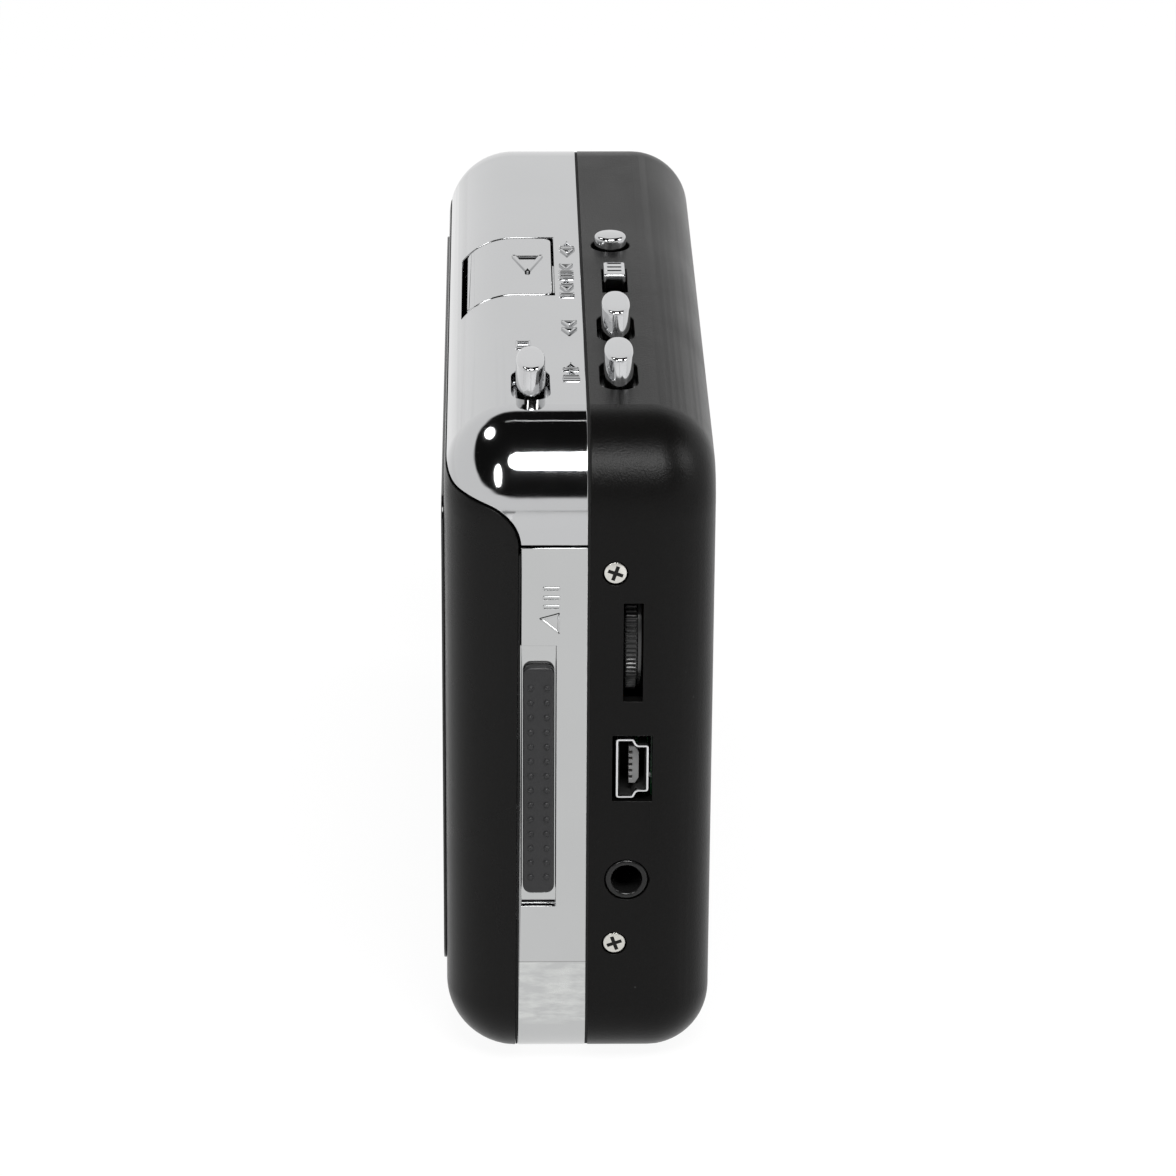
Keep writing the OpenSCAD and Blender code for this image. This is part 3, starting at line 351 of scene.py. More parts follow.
def cellMaterial(look):
    low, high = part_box("battery_cells")
    material, tree, shader = newMaterial("cellJacket", look["sleeve"])
    ahead = addMath(tree, "SUBTRACT", placeParts(tree)["X"], low.x)
    along = addMath(tree, "FLOORED_MODULO", ahead, (high.x - low.x) / 2)
    band, bare = (addRamp(tree, along, look[key] - look["edge"], look[key]) for key in ("bandFrom", "bareFrom"))
    paint(tree, shader, look["sleeve"], (look["copper"], band), (look["steel"], bare))
    tree.links.new(band, shader.inputs["Metallic"])
    addHandling(tree, shader, 80, look["roughness"])
    return material


# Plating of the side band; its foot at the right end is rubbed dull below a faint line

bandPlating = {
    "color": (0.515, 0.52, 0.52), "shade": (0.47, 0.475, 0.475), "roughness": (0.06, 0.12), "grain": 260,
    "depth": 14, "across": (500, 260, 900), "rubbed": (0.006, 0.0149), "edge": 0.00012, "start": 0.05,
    "patches": (0.42, 0.62), "rubbedColor": (0.6, 0.61, 0.6), "rubbedRough": 0.18, "lineColor": 0.3,
}


def bandMaterial(look):
    material, tree, shader = newMaterial("bandPlating", look["color"], 1)
    texture = addGrain(tree, look["grain"])
    handling = addHandling(tree, shader, 80, look["roughness"])
    place = placeParts(tree)
    (low, high), edge = look["rubbed"], look["edge"]
    above = addRamp(tree, place["Z"], low, low + edge * 8)
    below = addRamp(tree, place["Z"], high, high - edge)
    inside = addRamp(tree, place["Z"], high - edge, high - 2 * edge)
    rightEnd = addMath(tree, "GREATER_THAN", place["X"], look["start"])
    patches = addRamp(tree, addLines(tree, look["across"]).outputs["Height"], *look["patches"])
    dull = addMath(tree, "MULTIPLY", above, below, rightEnd, patches)
    line = addMath(tree, "MULTIPLY", addMath(tree, "SUBTRACT", below, inside), rightEnd)
    paint(tree, shader, look["color"], (look["shade"], texture.outputs["Shade"]), (look["rubbedColor"], dull),
          (look["lineColor"], line))
    rough = addMath(tree, "ADD", handling.outputs["Roughness"], addMath(tree, "MULTIPLY", dull, look["rubbedRough"]))
    tree.links.new(rough, shader.inputs["Roughness"])
    bumpFrom(tree, shader, texture.outputs["Height"], look["depth"])
    return material


materials.update({
    "smokedWindow": windowMaterial(smokedWindow), "circuitBoard": boardMaterial(circuitBoard),
    "cellJacket": cellMaterial(cellJacket), "bandPlating": bandMaterial(bandPlating),
})
print("stage: materials,", len(materials))

slotFinish = {
    "black_case": "blackMoulding", "plated_trim": "plating", "plated_keys": "keyPlating",
    "inner_black": "innerMoulding", "door_panel": "panelGloss", "smoked_window": "smokedWindow",
    "slider_grey": "padMoulding", "wheel_black": "wheelMoulding", "jack_black": "glossBlack",
    "spring_steel": "springSteel", "sheet_steel": "sheetSteel", "motor_can": "sheetSteel",
    "shaft_steel": "shaftSteel", "socket_steel": "socketSteel", "screw_steel": "screwSteel",
    "black_screws": "blackScrew", "bronze": "brass", "flywheel_brass": "brass", "belt_rubber": "rubber",
    "white_gears": "acetal", "pot_body": "phenolic", "board_green": "circuitBoard", "chip_black": "chipBody",
    "capacitor_sleeve": "capSleeve", "cell_jacket": "cellJacket",
}
ownFinish = {"door_shell": "doorMoulding", "side_band": "bandPlating", "usb_tongue": "tongueMoulding"}
nodeFinish = {node: ownFinish.get(node, slotFinish[slot]) for node, slot in slotOf.items()}
for node, finish in nodeFinish.items():
    for materialSlot in nodes[node].material_slots:
        materialSlot.material = materials[finish]


# Floor, backdrop light and lamps

studio = {
    "floorSize": 6, "floorColor": (0.86, 0.86, 0.86), "floorGlow": 0.9, "floorStrength": 1.03,
    # The first three entries below place a painted dark reflection on the floor, seen only in mirrors
    "paintedDarkStart": 0.05, "paintedDarkGap": (0.042, 0.06), "paintedDarkLevel": 0.12, "bandBright": 1, "ceilingBright": 0.008,
    "bandTilt": 0.2217, "bandEdge": (0.44, 0.505),
}


# How much of the plain white floor a ray sees; mirrors see the floor ahead at both sides of the front much darker, a
# painted dark reflection standing in for black cards
def floorSeen(tree, look):
    path, place = addNode(tree, "LightPath").outputs, placeParts(tree)
    paintedDarkSides = addRamp(tree, addMath(tree, "ABSOLUTE", place["Y"], 0), *look["paintedDarkGap"], kind="SMOOTHSTEP")
    ahead = addMath(tree, "GREATER_THAN", place["X"], look["paintedDarkStart"])
    paintedDarkness = addMath(tree, "MULTIPLY", ahead, paintedDarkSides, 1 - look["paintedDarkLevel"])
    glossy = addMath(tree, "MULTIPLY", path["Is Glossy Ray"], addMath(tree, "SUBTRACT", 1, paintedDarkness))
    direct = addMath(tree, "MAXIMUM", path["Is Camera Ray"], path["Is Transmission Ray"])
    return addMath(tree, "MULTIPLY", addMath(tree, "MAXIMUM", direct, glossy), look["floorGlow"])


def makeFloor(look):
    size = look["floorSize"]
    mesh = bpy.data.meshes.new("floor")
    mesh.from_pydata([(-size, -size, 0), (size, -size, 0), (size, size, 0), (-size, size, 0)], [], [(0, 1, 2, 3)])
    material, tree, shader = newMaterial("studioFloor", look["floorColor"],
                                         sockets={"Roughness": 0.9, "Specular IOR Level": 0})
    glow = addNode(tree, "Emission", inputs={"Color": rgba(1), "Strength": look["floorStrength"]})
    mix = addNode(tree, "MixShader")
    tree.links.new(floorSeen(tree, look), mix.inputs["Fac"])
    wire(tree, (shader, "BSDF", mix, 1), (glow, "Emission", mix, 2),
         (mix, "Shader", tree.nodes["Material Output"], "Surface"))
    mesh.materials.append(material)
    floor = addObject("floor", mesh)


# A bright band low all round and a dark ceiling, as a plated surface sees a studio
def makeWorld(look):
    world = bpy.data.worlds.new("studio")
    bpy.context.scene.world = world
    world.use_nodes = True
    tree = world.node_tree
    sky = tree.nodes["Background"]
    sky.inputs["Color"].default_value = rgba(1)
    place = addNode(tree, "TexCoord")
    lean = addNode(tree, "VectorMath", operation="DOT_PRODUCT", inputs={1: (look["bandTilt"], 0, 1)})
    low, high = look["bandEdge"]
    height = addNode(tree, "MapRange", interpolation_type="SMOOTHSTEP",
                     inputs={"From Min": low, "From Max": high, "To Min": look["bandBright"],
                             "To Max": look["ceilingBright"]})
    wire(tree, (place, "Generated", lean, 0), (lean, "Value", height, "Value"), (height, "Result", sky, "Strength"))


# Place, point aimed at, width and height, power
lamps = {
    "overheadSoftbox": ((0.525, 0.1, 0.91), (0.03, 0.02, 0.06), (0.4, 0.62), 9),
    "farStrip": ((-0.42, 0.05, 0.9), (0, 0.02, 0.05), (0.012, 0.5), 0.04),
    "doorSideHigh": ((-0.3, -0.54, 0.91), (0.04, -0.01, 0.07), (0.34, 0.22), 1.2),
    "doorSideLow": ((0.7, -0.5, 0.72), (0.04, -0.01, 0.07), (0.5, 0.22), 2),
    "backSideSoftbox": ((0.1, 1, 0.8), (0, 0, 0.04), (0.4, 0.5), 4),
}


def makeLamp(name, place, target, size, power):
    data = bpy.data.lights.new(name, "AREA")
    data.shape = "ELLIPSE"
    data.size, data.size_y = size
    data.energy = power
    place = Vector(place)
    back = (place - Vector(target)).normalized()
    side = (Vector((0, 1, 0)) - back * back.y).normalized()
    addObject(name, data).matrix_world = placeWith(place, side.cross(back), side, back)


makeFloor(studio)
makeWorld(studio)
for name, look in lamps.items():
    makeLamp(name, *look)
print("stage: studio")


# Mesh helpers; lengths below are in millimetres

# Pieces that lie on a node or beside it, among them the dark sheets of painted shade in the screw recesses and the
# data socket; every other piece takes its node's place
additions = {"sideScrewsPaintedShade", "backScrewsPaintedShade", "dataContacts", "dataPaintedShade", "topMarks", "playMark", "openMarks",
             "caseSeal", "doorSeal"}


# A built piece on its node's body, in the node's finish unless another is given
def addPiece(name, build, node, sharp=40, finish=None):
    mesh = bpy.data.meshes.new(name)
    mesh.from_pydata([tuple(p * mm) for p in build.points], [], build.faces)
    work = bmesh.new()
    work.from_mesh(mesh)
    bmesh.ops.remove_doubles(work, verts=work.verts, dist=0.0000005)
    bmesh.ops.recalc_face_normals(work, faces=work.faces)
    work.to_mesh(mesh)
    work.free()
    mesh.shade_smooth()
    mesh.set_sharp_from_angle(angle=math.radians(sharp))
    mesh.materials.append(materials[finish or nodeFinish[node]])
    placePiece(name, mesh, node)


def placePiece(name, mesh, node):
    piece = addObject(name, mesh)
    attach(piece, bodyOf[node])
    if name not in additions:
        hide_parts(node)


def boxMm(node):
    return [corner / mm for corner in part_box(node)]


class Build:
    def __init__(self):
        self.points, self.faces = [], []

    def ring(self, points):
        start = len(self.points)
        self.points += [Vector(p) for p in points]
        return list(range(start, len(self.points)))

    def join(self, a, b):
        count = len(a)
        self.faces += [(a[i], a[(i + 1) % count], b[(i + 1) % count], b[i]) for i in range(count)]

    def loft(self, rings, closeFirst=True, around=False):
        made = [self.ring(points) for points in rings]
        for a, b in zip(made, made[1:]):
            self.join(a, b)
        if around:
            self.join(made[-1], made[0])
            return self
        if closeFirst:
            self.faces.append(tuple(reversed(made[0])))
        self.faces.append(tuple(made[-1]))
        return self

    # Sections across X: each step is how far the shape grows, and where it stands
    def stackX(self, steps, shape, y, z, **ends):
        return self.loft([acrossX(shape(grow), x, y, z) for grow, x in steps], **ends)

    # Flat ground between an outer and an inner ring
    def ringFill(self, outer, inner):
        work = bmesh.new()
        rings = [[work.verts.new(self.points[i]) for i in ids] for ids in (outer, inner)]
        edges = [work.edges.new((ring[i], ring[(i + 1) % len(ring)])) for ring in rings for i in range(len(ring))]
        back = {vert: index for ring, ids in zip(rings, (outer, inner)) for vert, index in zip(ring, ids)}
        filled = bmesh.ops.triangle_fill(work, use_beauty=True, use_dissolve=False, edges=edges)
        faces = [item for item in filled["geom"] if isinstance(item, bmesh.types.BMFace)]
        self.faces += [tuple(back[vert] for vert in face.verts) for face in faces]
        work.free()


# Outlines in a plane, as (a, b) pairs going round once

# Four rounded corners, each given by the middle of its arc and its radius
def roundedCorners(corners, steps):
    outline = []
    for side, (a, b, radius) in enumerate(corners):
        for angle in (math.radians(90 * side + 90 * k / steps) for k in range(steps + 1)):
            outline.append((a + radius * math.cos(angle), b + radius * math.sin(angle)))
    return outline


def roundedRect(width, height, radius, steps=6):
    r = max(radius, 0.0001)
    a, b = width / 2 - r, height / 2 - r
    return roundedCorners([(a, b, r), (-a, b, r), (-a, -b, r), (a, -b, r)], steps)


def circle(radius, steps=48):
    return [(radius * math.cos(2 * math.pi * k / steps), radius * math.sin(2 * math.pi * k / steps))
            for k in range(steps)]


# An outline standing across X at a place
def acrossX(outline, x, y, z):
    return [(x, y + a, z + b) for a, b in outline]


# Corners of a polygon rounded off by arcs
def roundedPolygon(corners, radius, steps=4):
    outline = []
    count = len(corners)
    for k in range(count):
        here, before, after = (Vector(corners[i % count]) for i in (k, k - 1, k + 1))
        to, on = (before - here).normalized(), (after - here).normalized()
        half = to.angle(on) / 2
        reach = min(radius / math.tan(half), (before - here).length * 0.45, (after - here).length * 0.45)
        start, end = here + to * reach, here + on * reach
        for s in range(steps + 1):
            f = s / steps
            outline.append(tuple(start.lerp(here, f).lerp(here.lerp(end, f), f)))
    return outline


def growOutline(outline, grow):
    points = [Vector(point) for point in outline]
    turn = 1 if sum(a.cross(b) for a, b in zip(points, points[1:] + points[:1])) > 0 else -1
    grown = []
    for a, b, c in zip(points[-1:] + points, points, points[1:] + points[:1]):
        before, after = (b - a).normalized(), (c - b).normalized()
        normal = Vector((before.y + after.y, -before.x - after.x))
        if normal.length < 1e-9:
            normal = Vector((before.y, -before.x))
        normal.normalize()
        stretch = 1 / max(0.5, normal.dot(Vector((before.y, -before.x))))
        grown.append(tuple(b + normal * grow * turn * stretch))
    return grown


# Rim of a raised form: (grow, height) steps of a quarter round ending in a crown
def rimSteps(radius, top, steps=4):
    return [(-radius * (1 - math.cos(math.radians(90 * k / steps))),
             top - radius * (1 - math.sin(math.radians(90 * k / steps)))) for k in range(steps + 1)]


# Lengths here are in metres: reach of the search for a true normal, points merged as one
softEdges = {"sharp": 35, "flat": 0.4, "reach": 0.00004, "merge": 0.000002, "agree": 0.6, "tiny": 1e-14}


# A copy of a CAD part with its edges rounded, save inside the kept corner
def softEdged(name, node, width, kept, look):
    mesh = nodes[node].data
    mesh.calc_loop_triangles()
    cornerNormals = [n.vector.copy() for n in mesh.corner_normals]
    places = [v.co.copy() for v in mesh.vertices]
    triangles = [tuple(t.vertices) for t in mesh.loop_triangles]
    corners = [tuple(t.loops) for t in mesh.loop_triangles]
    tree = BVHTree.FromPolygons(places, triangles)

    # The CAD part's own smooth normal at a point, as near as can be to a hint
    def trueNormal(point, hint):
        near = [hit for hit in tree.find_nearest_range(point, look["reach"]) if hit[1].dot(hint) >= look["agree"]]
        if not near:
            return hint
        place, normal, index, distance = max(near, key=lambda hit: hit[1].dot(hint))
        a, b, c = (places[i] for i in triangles[index])
        na, nb, nc = (cornerNormals[i] for i in corners[index])
        whole = (b - a).cross(c - a).length
        if whole < look["tiny"]:
            return hint
        u = (b - place).cross(c - place).length / whole
        v = (c - place).cross(a - place).length / whole
        mixed = na * u + nb * v + nc * max(0, 1 - u - v)
        return mixed.normalized() if mixed.length > 0 else hint

    work = bmesh.new()
    work.from_mesh(mesh)
    bmesh.ops.remove_doubles(work, verts=work.verts, dist=look["merge"])
    bmesh.ops.dissolve_limit(work, angle_limit=math.radians(look["flat"]), verts=work.verts, edges=work.edges)
    sharp = [e for e in work.edges if e.is_manifold and e.calc_face_angle() > math.radians(look["sharp"])]
    if kept:
        sharp = [e for e in sharp if not any(all(a / mm < b for a, b in zip(v.co, kept)) for v in e.verts)]
    done = bmesh.ops.bevel(work, geom=sharp, offset=width * mm, offset_type="OFFSET", segments=2, profile=0.5,
                           affect="EDGES", clamp_overlap=False, loop_slide=True)
    rounded = set(done["faces"])
    work.normal_update()
    normals = []
    for face in work.faces:
        for loop in face.loops:
            around = loop.vert.link_faces
            flats = [f for f in around if f not in rounded] if face in rounded else [face]
            if flats:
                flat = max(flats, key=lambda f: f.normal.dot(face.normal))
                normals.append(trueNormal(loop.vert.co, flat.normal))
            else:
                normals.append(sum((f.normal for f in around), Vector()).normalized())
    made = bpy.data.meshes.new(name)
    work.to_mesh(made)
    work.free()
    made.shade_smooth()
    made.normals_split_custom_set(normals)
    made.materials.append(materials[nodeFinish[node]])
    placePiece(name, made, node)


softened = {
    "topCap": ("top_cap", 0.12), "sideBand": ("side_band", 0.1), "backShell": ("back_shell", 0.12),
    "doorShell": ("door_shell", 0.12), "doorPanel": ("door_panel", 0.12), "playKey": ("play_key", 0.18),
    "batteryCover": ("battery_cover", 0.12),
}
keptCorners = {"side_band": (-50.5, -11, 15.5)}  # the lower hinge foot, where narrow edges meet
for name, (node, width) in softened.items():
    softEdged(name, node, width, keptCorners.get(node), softEdges)
print("stage: shells with soft edges")


# Keys: a flange under the case, a neck with a rounded rim, and a crowned top

keyForm = {"flange": 1, "flangeEdge": 0.1, "neck": 0.4, "rim": 0.42, "rimSteps": 6, "crownSteps": 5}
tallKey = {**keyForm, "size": (8.6, 3.6), "flangeOut": (2.4, 1.8), "draft": (0.45, 0.08), "fullness": 2.25,
           "crown": 0.07, "tip": 0.002, "steps": 56}
roundKey = {**keyForm, "size": (4, 4), "flangeOut": (1.8, 1.8), "draft": (0, 0), "fullness": 2, "crown": 0.1,
            "tip": 0, "steps": 40}
keys = {
    "stopKey": ("stop_key", tallKey), "forwardKey": ("fast_forward_key", tallKey),
    "rewindKey": ("rewind_key", tallKey), "directionKey": ("direction_key", roundKey),
}


def makeKey(name, node, look):
    low, high = boxMm(node)
    center = (low + high) / 2
    rings = []

    # Outline between an ellipse and a slot with round ends
    def lay(long, wide, z):
        power = 2 / look["fullness"]
        rings.append([(center.x + math.copysign(abs(c) ** power, c) * long / 2,
                       center.y + math.copysign(abs(s) ** power, s) * wide / 2, z)
                      for c, s in circle(1, look["steps"])])

    long, wide = look["size"]
    flangeTop, top, edge = low.z + look["flange"], high.z - look["crown"], look["flangeEdge"]
    for out, z in ((-edge, low.z), (0, low.z + edge), (0, flangeTop - edge), (-edge, flangeTop)):
        lay(long + look["flangeOut"][0] + 2 * out, wide + look["flangeOut"][1] + 2 * out, z)
    lay(long, wide, flangeTop)
    lay(long, wide, flangeTop + look["neck"])
    long, wide = (size - 2 * draft for size, draft in zip(look["size"], look["draft"]))
    for grow, z in rimSteps(look["rim"], top, look["rimSteps"]):
        lay(long + 2 * grow, wide + 2 * grow, z)
    long, wide = long - 2 * look["rim"], wide - 2 * look["rim"]
    for k in range(1, look["crownSteps"]):
        share = k / look["crownSteps"]
        lay(long - share * wide, wide * (1 - share) + look["tip"], top + look["crown"] * (1 - (1 - share) ** 2))
    addPiece(name, Build().loft(rings), node, sharp=55)


for name, (node, look) in keys.items():
    makeKey(name, node, look)


# Ribbed knob of the mode switch

modeKnob = {"rim": 0.3, "ends": ((-0.28, 0), (-0.084, -0.07), (0, -0.28)), "slots": (-1.75, -0.45, 0.85),
            "slotWidth": 0.5, "slotDraft": 0.05, "slotDepth": 0.4, "slotReach": 0.62, "slotRun": 0.06}


def makeModeKnob(look):
    low, high = boxMm("mode_knob")
    center, half, top = (low + high) / 2, (high - low) / 2, high.z

    def profile(depth):
        points = [(-half.x, low.z)] + [(-half.x - grow, z) for grow, z in rimSteps(look["rim"], top)]
        w, draft = look["slotWidth"] / 2, look["slotDraft"]
        for x in look["slots"]:
            points += [(x - w, top), (x - w + draft, top - depth), (x + w - draft, top - depth), (x + w, top)]
        points += [(half.x + grow, z) for grow, z in reversed(rimSteps(look["rim"], top))]
        return points + [(half.x, low.z)]

    reach = half.y * look["slotReach"]
    sections = [(grow, 0, half.y + shift) for grow, shift in look["ends"]]
    sections += [(0, 0, reach + look["slotRun"]), (0, look["slotDepth"], reach)]
    sections = [(grow, depth, -y) for grow, depth, y in sections] + sections[::-1]
    rings = [[(center.x + a * (1 + grow / half.x), center.y + y, min(z, top + grow)) for a, z in profile(depth)]
             for grow, depth, y in sections]
    addPiece("modeKnob", Build().loft(rings), "mode_knob", sharp=38)


makeModeKnob(modeKnob)
print("stage: keys and knob")


# Sliding catch: a soft-cornered pad with two rows of grip dots and the stem behind it

openSlider = {"thick": 1.1, "corner": 1, "rim": 0.45, "backEdge": 0.1, "dotRadius": 0.36, "dotHeight": 0.28,
              "dotRows": 14, "dotGap": 0.94, "dotEnd": 2.3, "dotFarEnd": 2.6, "dotRise": (0, 30, 60, 82),
              "sink": 0.05, "stem": (54.1, 28.2, 49.3), "stemWidth": 2, "stemCorner": 0.2}


def makeOpenSlider(look):
    low, high = boxMm("open_slider")
    face = high.x - look["dotHeight"]
    back = face - look["thick"]
    y, z = (low.y + high.y) / 2, (low.z + high.z) / 2
    wide, tall = high.y - low.y, high.z - low.z
    build = Build()
    steps = [(-look["backEdge"], back), (0, back + look["backEdge"])] + rimSteps(look["rim"], face, 5)
    build.stackX(steps, lambda grow: roundedRect(wide + 2 * grow, tall + 2 * grow, look["corner"] + grow), y, z)
    step = (tall - look["dotEnd"] - look["dotFarEnd"]) / (look["dotRows"] - 1)
    dot = [(look["dotRadius"], face - look["sink"])]
    dot += [(look["dotRadius"] * math.cos(math.radians(t)), face + look["dotHeight"] * math.sin(math.radians(t)))
            for t in look["dotRise"]]
    for row in range(look["dotRows"]):
        for side in (-1, 1):
            build.stackX(dot, lambda radius: circle(radius, 16), y + side * look["dotGap"],
                         low.z + look["dotEnd"] + row * step)
    stemX, stemLow, stemHigh = look["stem"]
    stem = roundedRect(look["stemWidth"], stemHigh - stemLow, look["stemCorner"], 2)
    build.loft([acrossX(stem, x, y, (stemLow + stemHigh) / 2) for x in (stemX, back + look["backEdge"])])
    addPiece("openSlider", build, "open_slider", sharp=50)


makeOpenSlider(openSlider)


# Screws: a domed head with a cross recess, turned by its own angle, with painted shade in the recess

screwHeads = {
    "side_screws": {"piece": "sideScrews", "axis": "x", "head": 1.35, "thick": 0.62, "dome": 0.22, "shank": 0.75,
                    "shankLength": 3.4, "arm": 0.92, "armWidth": 0.44, "armDepth": 0.45,
                    "turns": (12, 45, 20, 70)},
    "back_screws": {"piece": "backScrews", "axis": "y", "head": 1.7, "thick": 0.72, "dome": 0.24, "shank": 0.75,
                    "shankLength": 8, "arm": 1.1, "armWidth": 0.5, "armDepth": 0.5, "turns": (33, 80)},
}
# Shares of the dome's depth and the head's radius, then of the cross's depth and reach, for the recess and for the
# dark sheet of painted shade laid in it
screwForm = {"dome": ((1, 1), (0.7, 0.985), (0.5, 0.95), (0.35, 0.88)), "rim": 0.2, "cross": ((0.7, 0.9), (1, 0.6)),
             "paintedRecessShade": ((0.8, 0.8), (0.25, 0.93)), "tip": 0.55, "tipLength": 0.5, "edge": 0.06}


def looseParts(mesh):
    parent = list(range(len(mesh.vertices)))

    def top(i):
        while parent[i] != i:
            parent[i] = parent[parent[i]]
            i = parent[i]
        return i

    seen = {}
    for vertex in mesh.vertices:
        key = tuple(round(c * 200000) for c in vertex.co)
        parent[top(vertex.index)] = top(seen.setdefault(key, vertex.index))
    for edge in mesh.edges:
        parent[top(edge.vertices[0])] = top(edge.vertices[1])
    parts = {}
    for vertex in mesh.vertices:
        parts.setdefault(top(vertex.index), []).append(vertex.co / mm)
    return [(Vector(map(min, zip(*part))), Vector(map(max, zip(*part)))) for part in parts.values()]


# Angles round a screw head that fall on the corners of its cross, each with the cross's reach there
def crossSpokes(arm, width):
    half = width / 2
    tip = math.atan2(half, arm)
    spokes = []
    for start in (turn * math.pi / 2 for turn in range(4)):
        spokes += [(start + tip * share, arm / math.cos(tip * share)) for share in (-1, -0.5, 0, 0.5, 1)]
        for k in range(1, 8):
            angle = tip + (math.pi / 2 - 2 * tip) * k / 8
            spokes.append((start + angle, half / math.sin(min(angle, math.pi / 2 - angle))))
    return spokes


def addScrew(build, paintedRecessShade, place, out, look, form, turn):
    side = Vector((0, 1, 0)) if abs(out.x) > 0.5 else Vector((1, 0, 0))
    up = out.cross(side)
    spokes = crossSpokes(look["arm"], look["armWidth"])
    head, shank, flat = look["head"], look["shank"], -look["dome"] * form["dome"][-1][0]

    # A ring round the head, or along the cross where a share of its reach is given
    def lay(height, radius, share=None):
        ring = []
        for angle, reach in spokes:
            r, a = reach * share if share else radius, angle + math.radians(turn)
            ring.append(place + out * height + side * (r * math.cos(a)) + up * (r * math.sin(a)))
        return ring

    def layCross(steps):
        return [lay(flat - look["armDepth"] * depth, 0, share) for depth, share in steps]

    under = -look["thick"]
    steps = [(-look["shankLength"], shank * form["tip"]), (-look["shankLength"] + form["tipLength"], shank),
             (under, shank), (under, head - form["edge"]), (under + form["edge"], head)]
    steps += [(-look["dome"] * down, head * out) for down, out in form["dome"]]
    build.loft([lay(height, radius) for height, radius in steps] + [lay(flat + look["dome"] * form["rim"], 0, 1)]
               + layCross(form["cross"]))
    # A dark sheet in the cross recess: painted shade where the recess lies in shadow
    paintedRecessShade.loft(layCross(form["paintedRecessShade"]))


def makeScrews(node, look):
    build, paintedRecessShade = Build(), Build()
    parts = sorted(looseParts(nodes[node].data), key=lambda part: (part[0].x, part[0].z))
    for (low, high), turn in zip(parts, look["turns"]):
        center = (low + high) / 2
        out = Vector((math.copysign(1, center.x), 0, 0)) if look["axis"] == "x" else Vector((0, 1, 0))
        place = center + out * abs(out.dot(high - low)) / 2
        addScrew(build, paintedRecessShade, place, out, look, screwForm, turn)
    # The recess's painted shade, in the dark seal finish
    addPiece(look["piece"] + "PaintedShade", paintedRecessShade, node, finish="darkSealAndPaintedShade")
    addPiece(look["piece"], build, node, sharp=32)


for node, look in screwHeads.items():
    makeScrews(node, look)
print("stage: catch and screws")


# Volume wheel: fine ribs with a plain flange on the board's side

# Rings round its section: level, step off it, radius and share of the ribs' height
volumeWheel = {
    "teeth": 76, "tooth": (0, 0.6, 1, 1, 0.6, 0), "ribs": 0.35, "flange": 0.55, "dish": 0.35,
    "rings": (("low", 0, 2.05, 0), ("low", 0, 3.2, 0), ("dish", 0, 3.5, 0), ("dish", 0, 6, 0), ("low", 0, 6.3, 0),
              ("low", 0, 6.75, 0), ("low", 0.12, 6.85, 0.5), ("low", 0.2, 6.85, 1), ("step", -0.15, 6.85, 1),
              ("step", -0.02, 6.85, 0.3), ("step", 0, 6.6, 0), ("step", 0.1, 6.8, 0), ("high", -0.1, 6.8, 0),
              ("high", 0, 6.7, 0), ("high", 0, 2.05, 0)),
}


def makeVolumeWheel(look):
    low, high = boxMm("volume_wheel")
    center, tooth = (low + high) / 2, look["tooth"]
    count = look["teeth"] * len(tooth)
    levels = {"low": low.y, "dish": low.y + look["dish"], "step": high.y - look["flange"], "high": high.y}
    rings = []
    for level, shift, inner, share in look["rings"]:
        ring = []
        for k in range(count):
            radius, angle = inner + look["ribs"] * tooth[k % len(tooth)] * share, 2 * math.pi * k / count
            ring.append((center.x + radius * math.cos(angle), levels[level] + shift,
                         center.z + radius * math.sin(angle)))
        rings.append(ring)
    addPiece("volumeWheel", Build().loft(rings, around=True), "volume_wheel")


makeVolumeWheel(volumeWheel)


# Data socket: a folded steel shell round a tongue with five contacts

# Lips are rows of growth and distance behind the front
dataSocket = {"deep": 3.9, "wall": 0.3, "corner": 0.42, "step": (1.8, 1.4, 0.8),
              "lip": ((0, 0.12), (-0.05, 0.03), (-0.12, 0), (-0.2, 0), (-0.27, 0.04), (-0.3, 0.14), (-0.3, 8.4)),
              "legs": (-3, 2.4), "legWidth": 0.6, "legSink": 0.1, "legReach": (0.3, 5.3)}


def socketOutline(tall, look):
    (far, near, drop), deep = look["step"], look["deep"]
    return [(-deep / 2, -tall / 2), (deep / 2 - far, -tall / 2), (deep / 2 - near, -tall / 2 + drop),
            (deep / 2, -tall / 2 + drop), (deep / 2, tall / 2 - drop), (deep / 2 - near, tall / 2 - drop),
            (deep / 2 - far, tall / 2), (-deep / 2, tall / 2)]


def makeDataSocket(look):
    low, high = boxMm("usb_shell")
    board = boxMm("circuit_board")[0].y
    y, z = low.y + look["deep"] / 2, (low.z + high.z) / 2
    outer = roundedPolygon(socketOutline(high.z - low.z, look), look["corner"])
    steps = [(0, low.x)] + [(grow, high.x - behind) for grow, behind in look["lip"]]
    build = Build().stackX(steps, lambda grow: growOutline(outer, grow), y, z)
    legRoot = low.y + look["deep"] - look["legSink"]
    leg = roundedRect(board - legRoot, look["legWidth"], 0.02, 1)
    for side in look["legs"]:
        build.loft([acrossX(leg, low.x + reach, (legRoot + board) / 2, z + side + look["legWidth"] / 2)
                    for reach in look["legReach"]])
    addPiece("dataSocket", build, "usb_shell", sharp=32)


makeDataSocket(dataSocket)

dataTongue = {"root": 0.1, "chamfer": (0.45, 0.75), "notches": 5, "notchStep": 0.8, "notchWidth": 0.36,
              "notchDepth": 0.42, "lip": ((0, 0.06), (-0.05, 0)), "strip": (0.2, 0.28), "stripDepth": 0.3,
              # The last three entries size the dark sheet of painted shade inside the shell
              "stripEdge": 0.04, "stripFrom": 2, "stripEnd": (0.75, 0.65), "paintedShadeGap": 0.02, "paintedShadeCorner": 0.25,
              "paintedShadeLip": ((0, 8.3), (0, 0.35), (-0.072, 0.35), (-0.12, 0.43), (-0.12, 7.2))}


